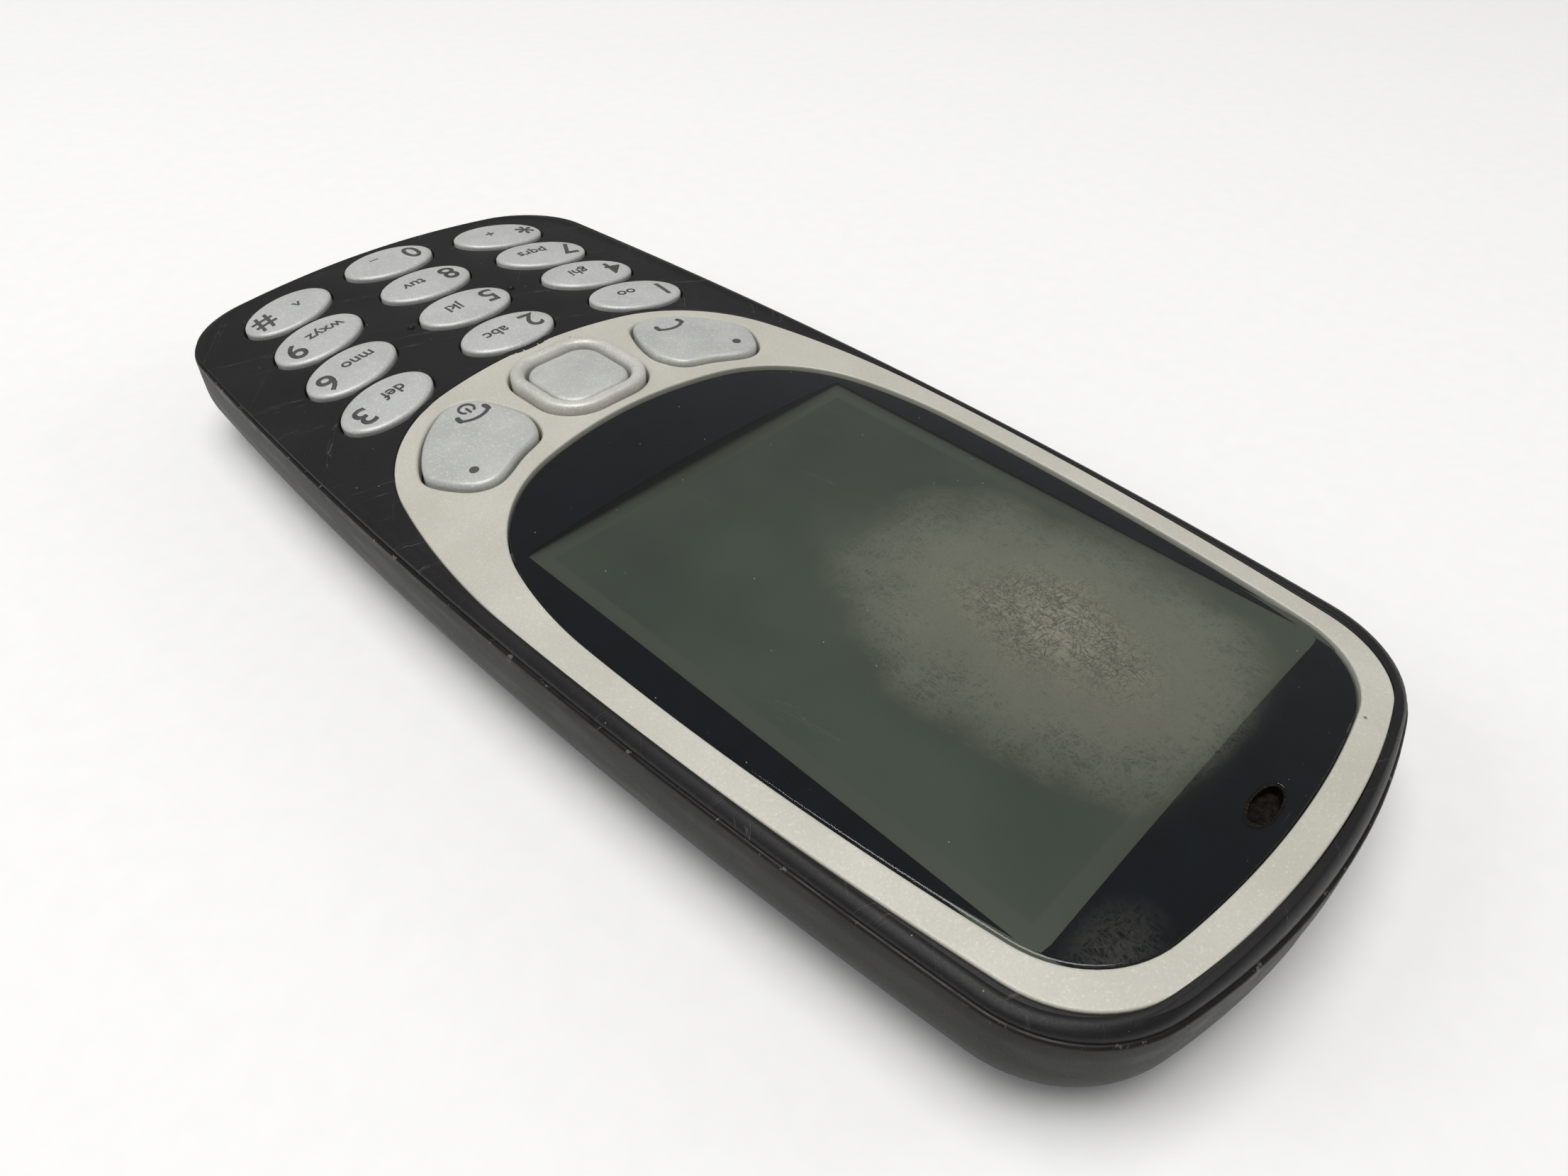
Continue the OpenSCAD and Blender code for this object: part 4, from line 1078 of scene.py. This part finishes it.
def back_shell():
    r, wall = BACK_ROUND, BACK_WALL
    side = []
    for k in range(13):
        a = math.pi / 2 * k / 12
        side.append((-r + r * math.sin(a), flat_at(r - r * math.cos(a))))
    side += [(0.0, flat_at(SEAM_Z - 1.6)), (0.0, flat_at(SEAM_Z - 0.22)), (-0.06, flat_at(SEAM_Z - 0.08)),
             (-0.18, flat_at(SEAM_Z - 0.01)), (-0.32, flat_at(SEAM_Z)), (-wall + 0.1, flat_at(SEAM_Z)),
             (-wall, flat_at(SEAM_Z - 0.1))]
    ri = r - wall
    for k in range(9):
        a = math.pi / 2 * (1 - k / 8)
        side.append((-wall - ri + ri * math.sin(a), flat_at(wall + ri - ri * math.cos(a))))
    holes = []
    for p, m in ([oval(CAM[0], CAM[1], 8.36, 8.36, n=64), oval(LAMP[0], LAMP[1], 2.96, 2.96, n=32)]
                 + [round_rect(SPEAK[0] - 4.5 + 3 * k, SPEAK[1], 1, 5, 0.49, 6, 4) for k in range(4)]):
        rim = [(-0.15, flat_at(0.0)), (-0.05, flat_at(0.04)), (0.0, flat_at(0.14)), (0.0, flat_at(wall))]
        holes.append((p, -m, rim))
    verts, faces = shell((back_p, back_n, side), holes, flat_at(0.0), flat_at(wall), 1.6)
    obj = put("back_case", verts, faces, "back_shell", MAT["back_plastic"], "back_plastic", ["back_cover"])
    jack = [(JACK_X + 2.9 * math.cos(t), JACK_Z + 2.9 * math.sin(t)) for t in np.arange(48) * math.pi / 24]
    notch = [(5 * math.cos(t), SEAM_Z + 5 * math.sin(t)) for t in np.arange(64) * math.pi / 32]
    mid_z = (USB_LO[2] + USB_HI[2]) / 2
    port, _ = round_rect(0, mid_z, 8.6, 3.7, 0.9, 6, 2)
    cut(obj, [cutter(*loft(upright(jack, -HALF_L - 2, -HALF_L + 3))),
              cutter(*loft(upright(notch, -HALF_L - 2, -HALF_L + 0.5))),
              cutter(*loft(upright([tuple(q) for q in port], HALF_L - 4, HALF_L + 2)))])


def back_trim():
    def turned(cx, cy, section, n=64):
        return loft([at(oval(cx, cy, 2 * r, 2 * r, n=n)[0], z) for r, z in section])

    camera = turned(*CAM, ((3.9, 1.08), (4.08, 1.0), (4.08, 0.42), (3.98, 0.32), (3.3, 0.3), (3.25, 0.36),
                           (1.9, 0.36), (1.85, 0.5), (0.8, 0.62), (0.2, 0.64)))
    put("camera_glass", *camera, "back_shell", MAT["window"], "window", ["camera_window"])
    flash = turned(*LAMP, ((1.3, 1.08), (1.4, 1.0), (1.4, 0.35), (1.3, 0.25), (1.0, 0.3), (0.95, 0.22),
                           (0.6, 0.28), (0.55, 0.2), (0.15, 0.22)), 40)
    put("lamp_lens", *flash, "back_shell", MAT["lens"], "lens", ["flash_lens"])


front_cover()
deck()
bezel()
window()
earpiece()
number_keys()
finger_nubs()
scroll_ring()
centre_key()
gimbal()
rocker(1, "right_rocker", "right_rocker_key")
rocker(-1, "left_rocker", "left_rocker_key")
rocker_print()
back_shell()
back_trim()

# ---------------- floor, light and camera
floor_mat = Nodes("floor_paper")
paper = floor_mat.noise(0.4, 3.0)
floor_mat.done(floor_mat.principled(color=floor_mat.mix(floor_mat.range(paper, 0.3, 0.7), (0.91, 0.91, 0.91),
                                                         (0.93, 0.93, 0.93)), rough=0.8))
bm = bmesh.new()
bmesh.ops.create_grid(bm, x_segments=8, y_segments=8, size=3.0)
floor_mesh = bpy.data.meshes.new("floor")
bm.to_mesh(floor_mesh)
bm.free()
floor = bpy.data.objects.new("floor", floor_mesh)
floor.data.materials.append(floor_mat.mat)
floor.location.z = cad_box[0][2] - 0.00002
bpy.context.scene.collection.objects.link(floor)


def lamp(name, place, aim, size, power, color=(1, 1, 1)):
    light = bpy.data.lights.new(name, "AREA")
    light.shape, light.size = "DISK", size
    light.energy, light.color = power, color
    obj = bpy.data.objects.new(name, light)
    obj.location = place
    obj.rotation_euler = (Vector(aim) - Vector(place)).to_track_quat("-Z", "Y").to_euler()
    # Only the key light shows as a reflection in the window
    obj.visible_glossy = name == "key_light"
    bpy.context.scene.collection.objects.link(obj)


lamp("key_light", (0.1, -0.02, 1.0), (0, 0, 0), 0.78, 8.0, (1.0, 0.99, 0.965))
lamp("fill_light", (0.55, -0.5, 0.5), (0, 0, 0), 0.48, 1.6, (0.98, 0.99, 1.0))
lamp("edge_light", (-0.75, 0.55, 0.4), (0, 0, 0), 0.42, 1.2)
world = bpy.data.worlds.new("studio")
world.use_nodes = True
world.node_tree.nodes["Background"].inputs[0].default_value = (1.0, 1.0, 1.0, 1)
world.node_tree.nodes["Background"].inputs[1].default_value = 0.22
bpy.context.scene.world = world
bpy.context.scene.view_settings.view_transform = "Standard"

camera = bpy.data.cameras.new("camera")
camera.sensor_width = 36.0
camera.lens = 25.16
camera.clip_start, camera.clip_end = 0.01, 20.0
cam = bpy.data.objects.new("camera", camera)
eye = Vector((51.979, 58.797, 67.953)) * MM
forward = Vector((-0.53672, -0.50637, -0.67492)).normalized()
up = Vector((-0.47465, -0.48013, 0.73769)).normalized()
right = forward.cross(up).normalized()
up = right.cross(forward)
cam.matrix_world = Matrix.Translation(eye) @ Matrix((right, up, -forward)).transposed().to_4x4()
bpy.context.scene.collection.objects.link(cam)
bpy.context.scene.camera = cam
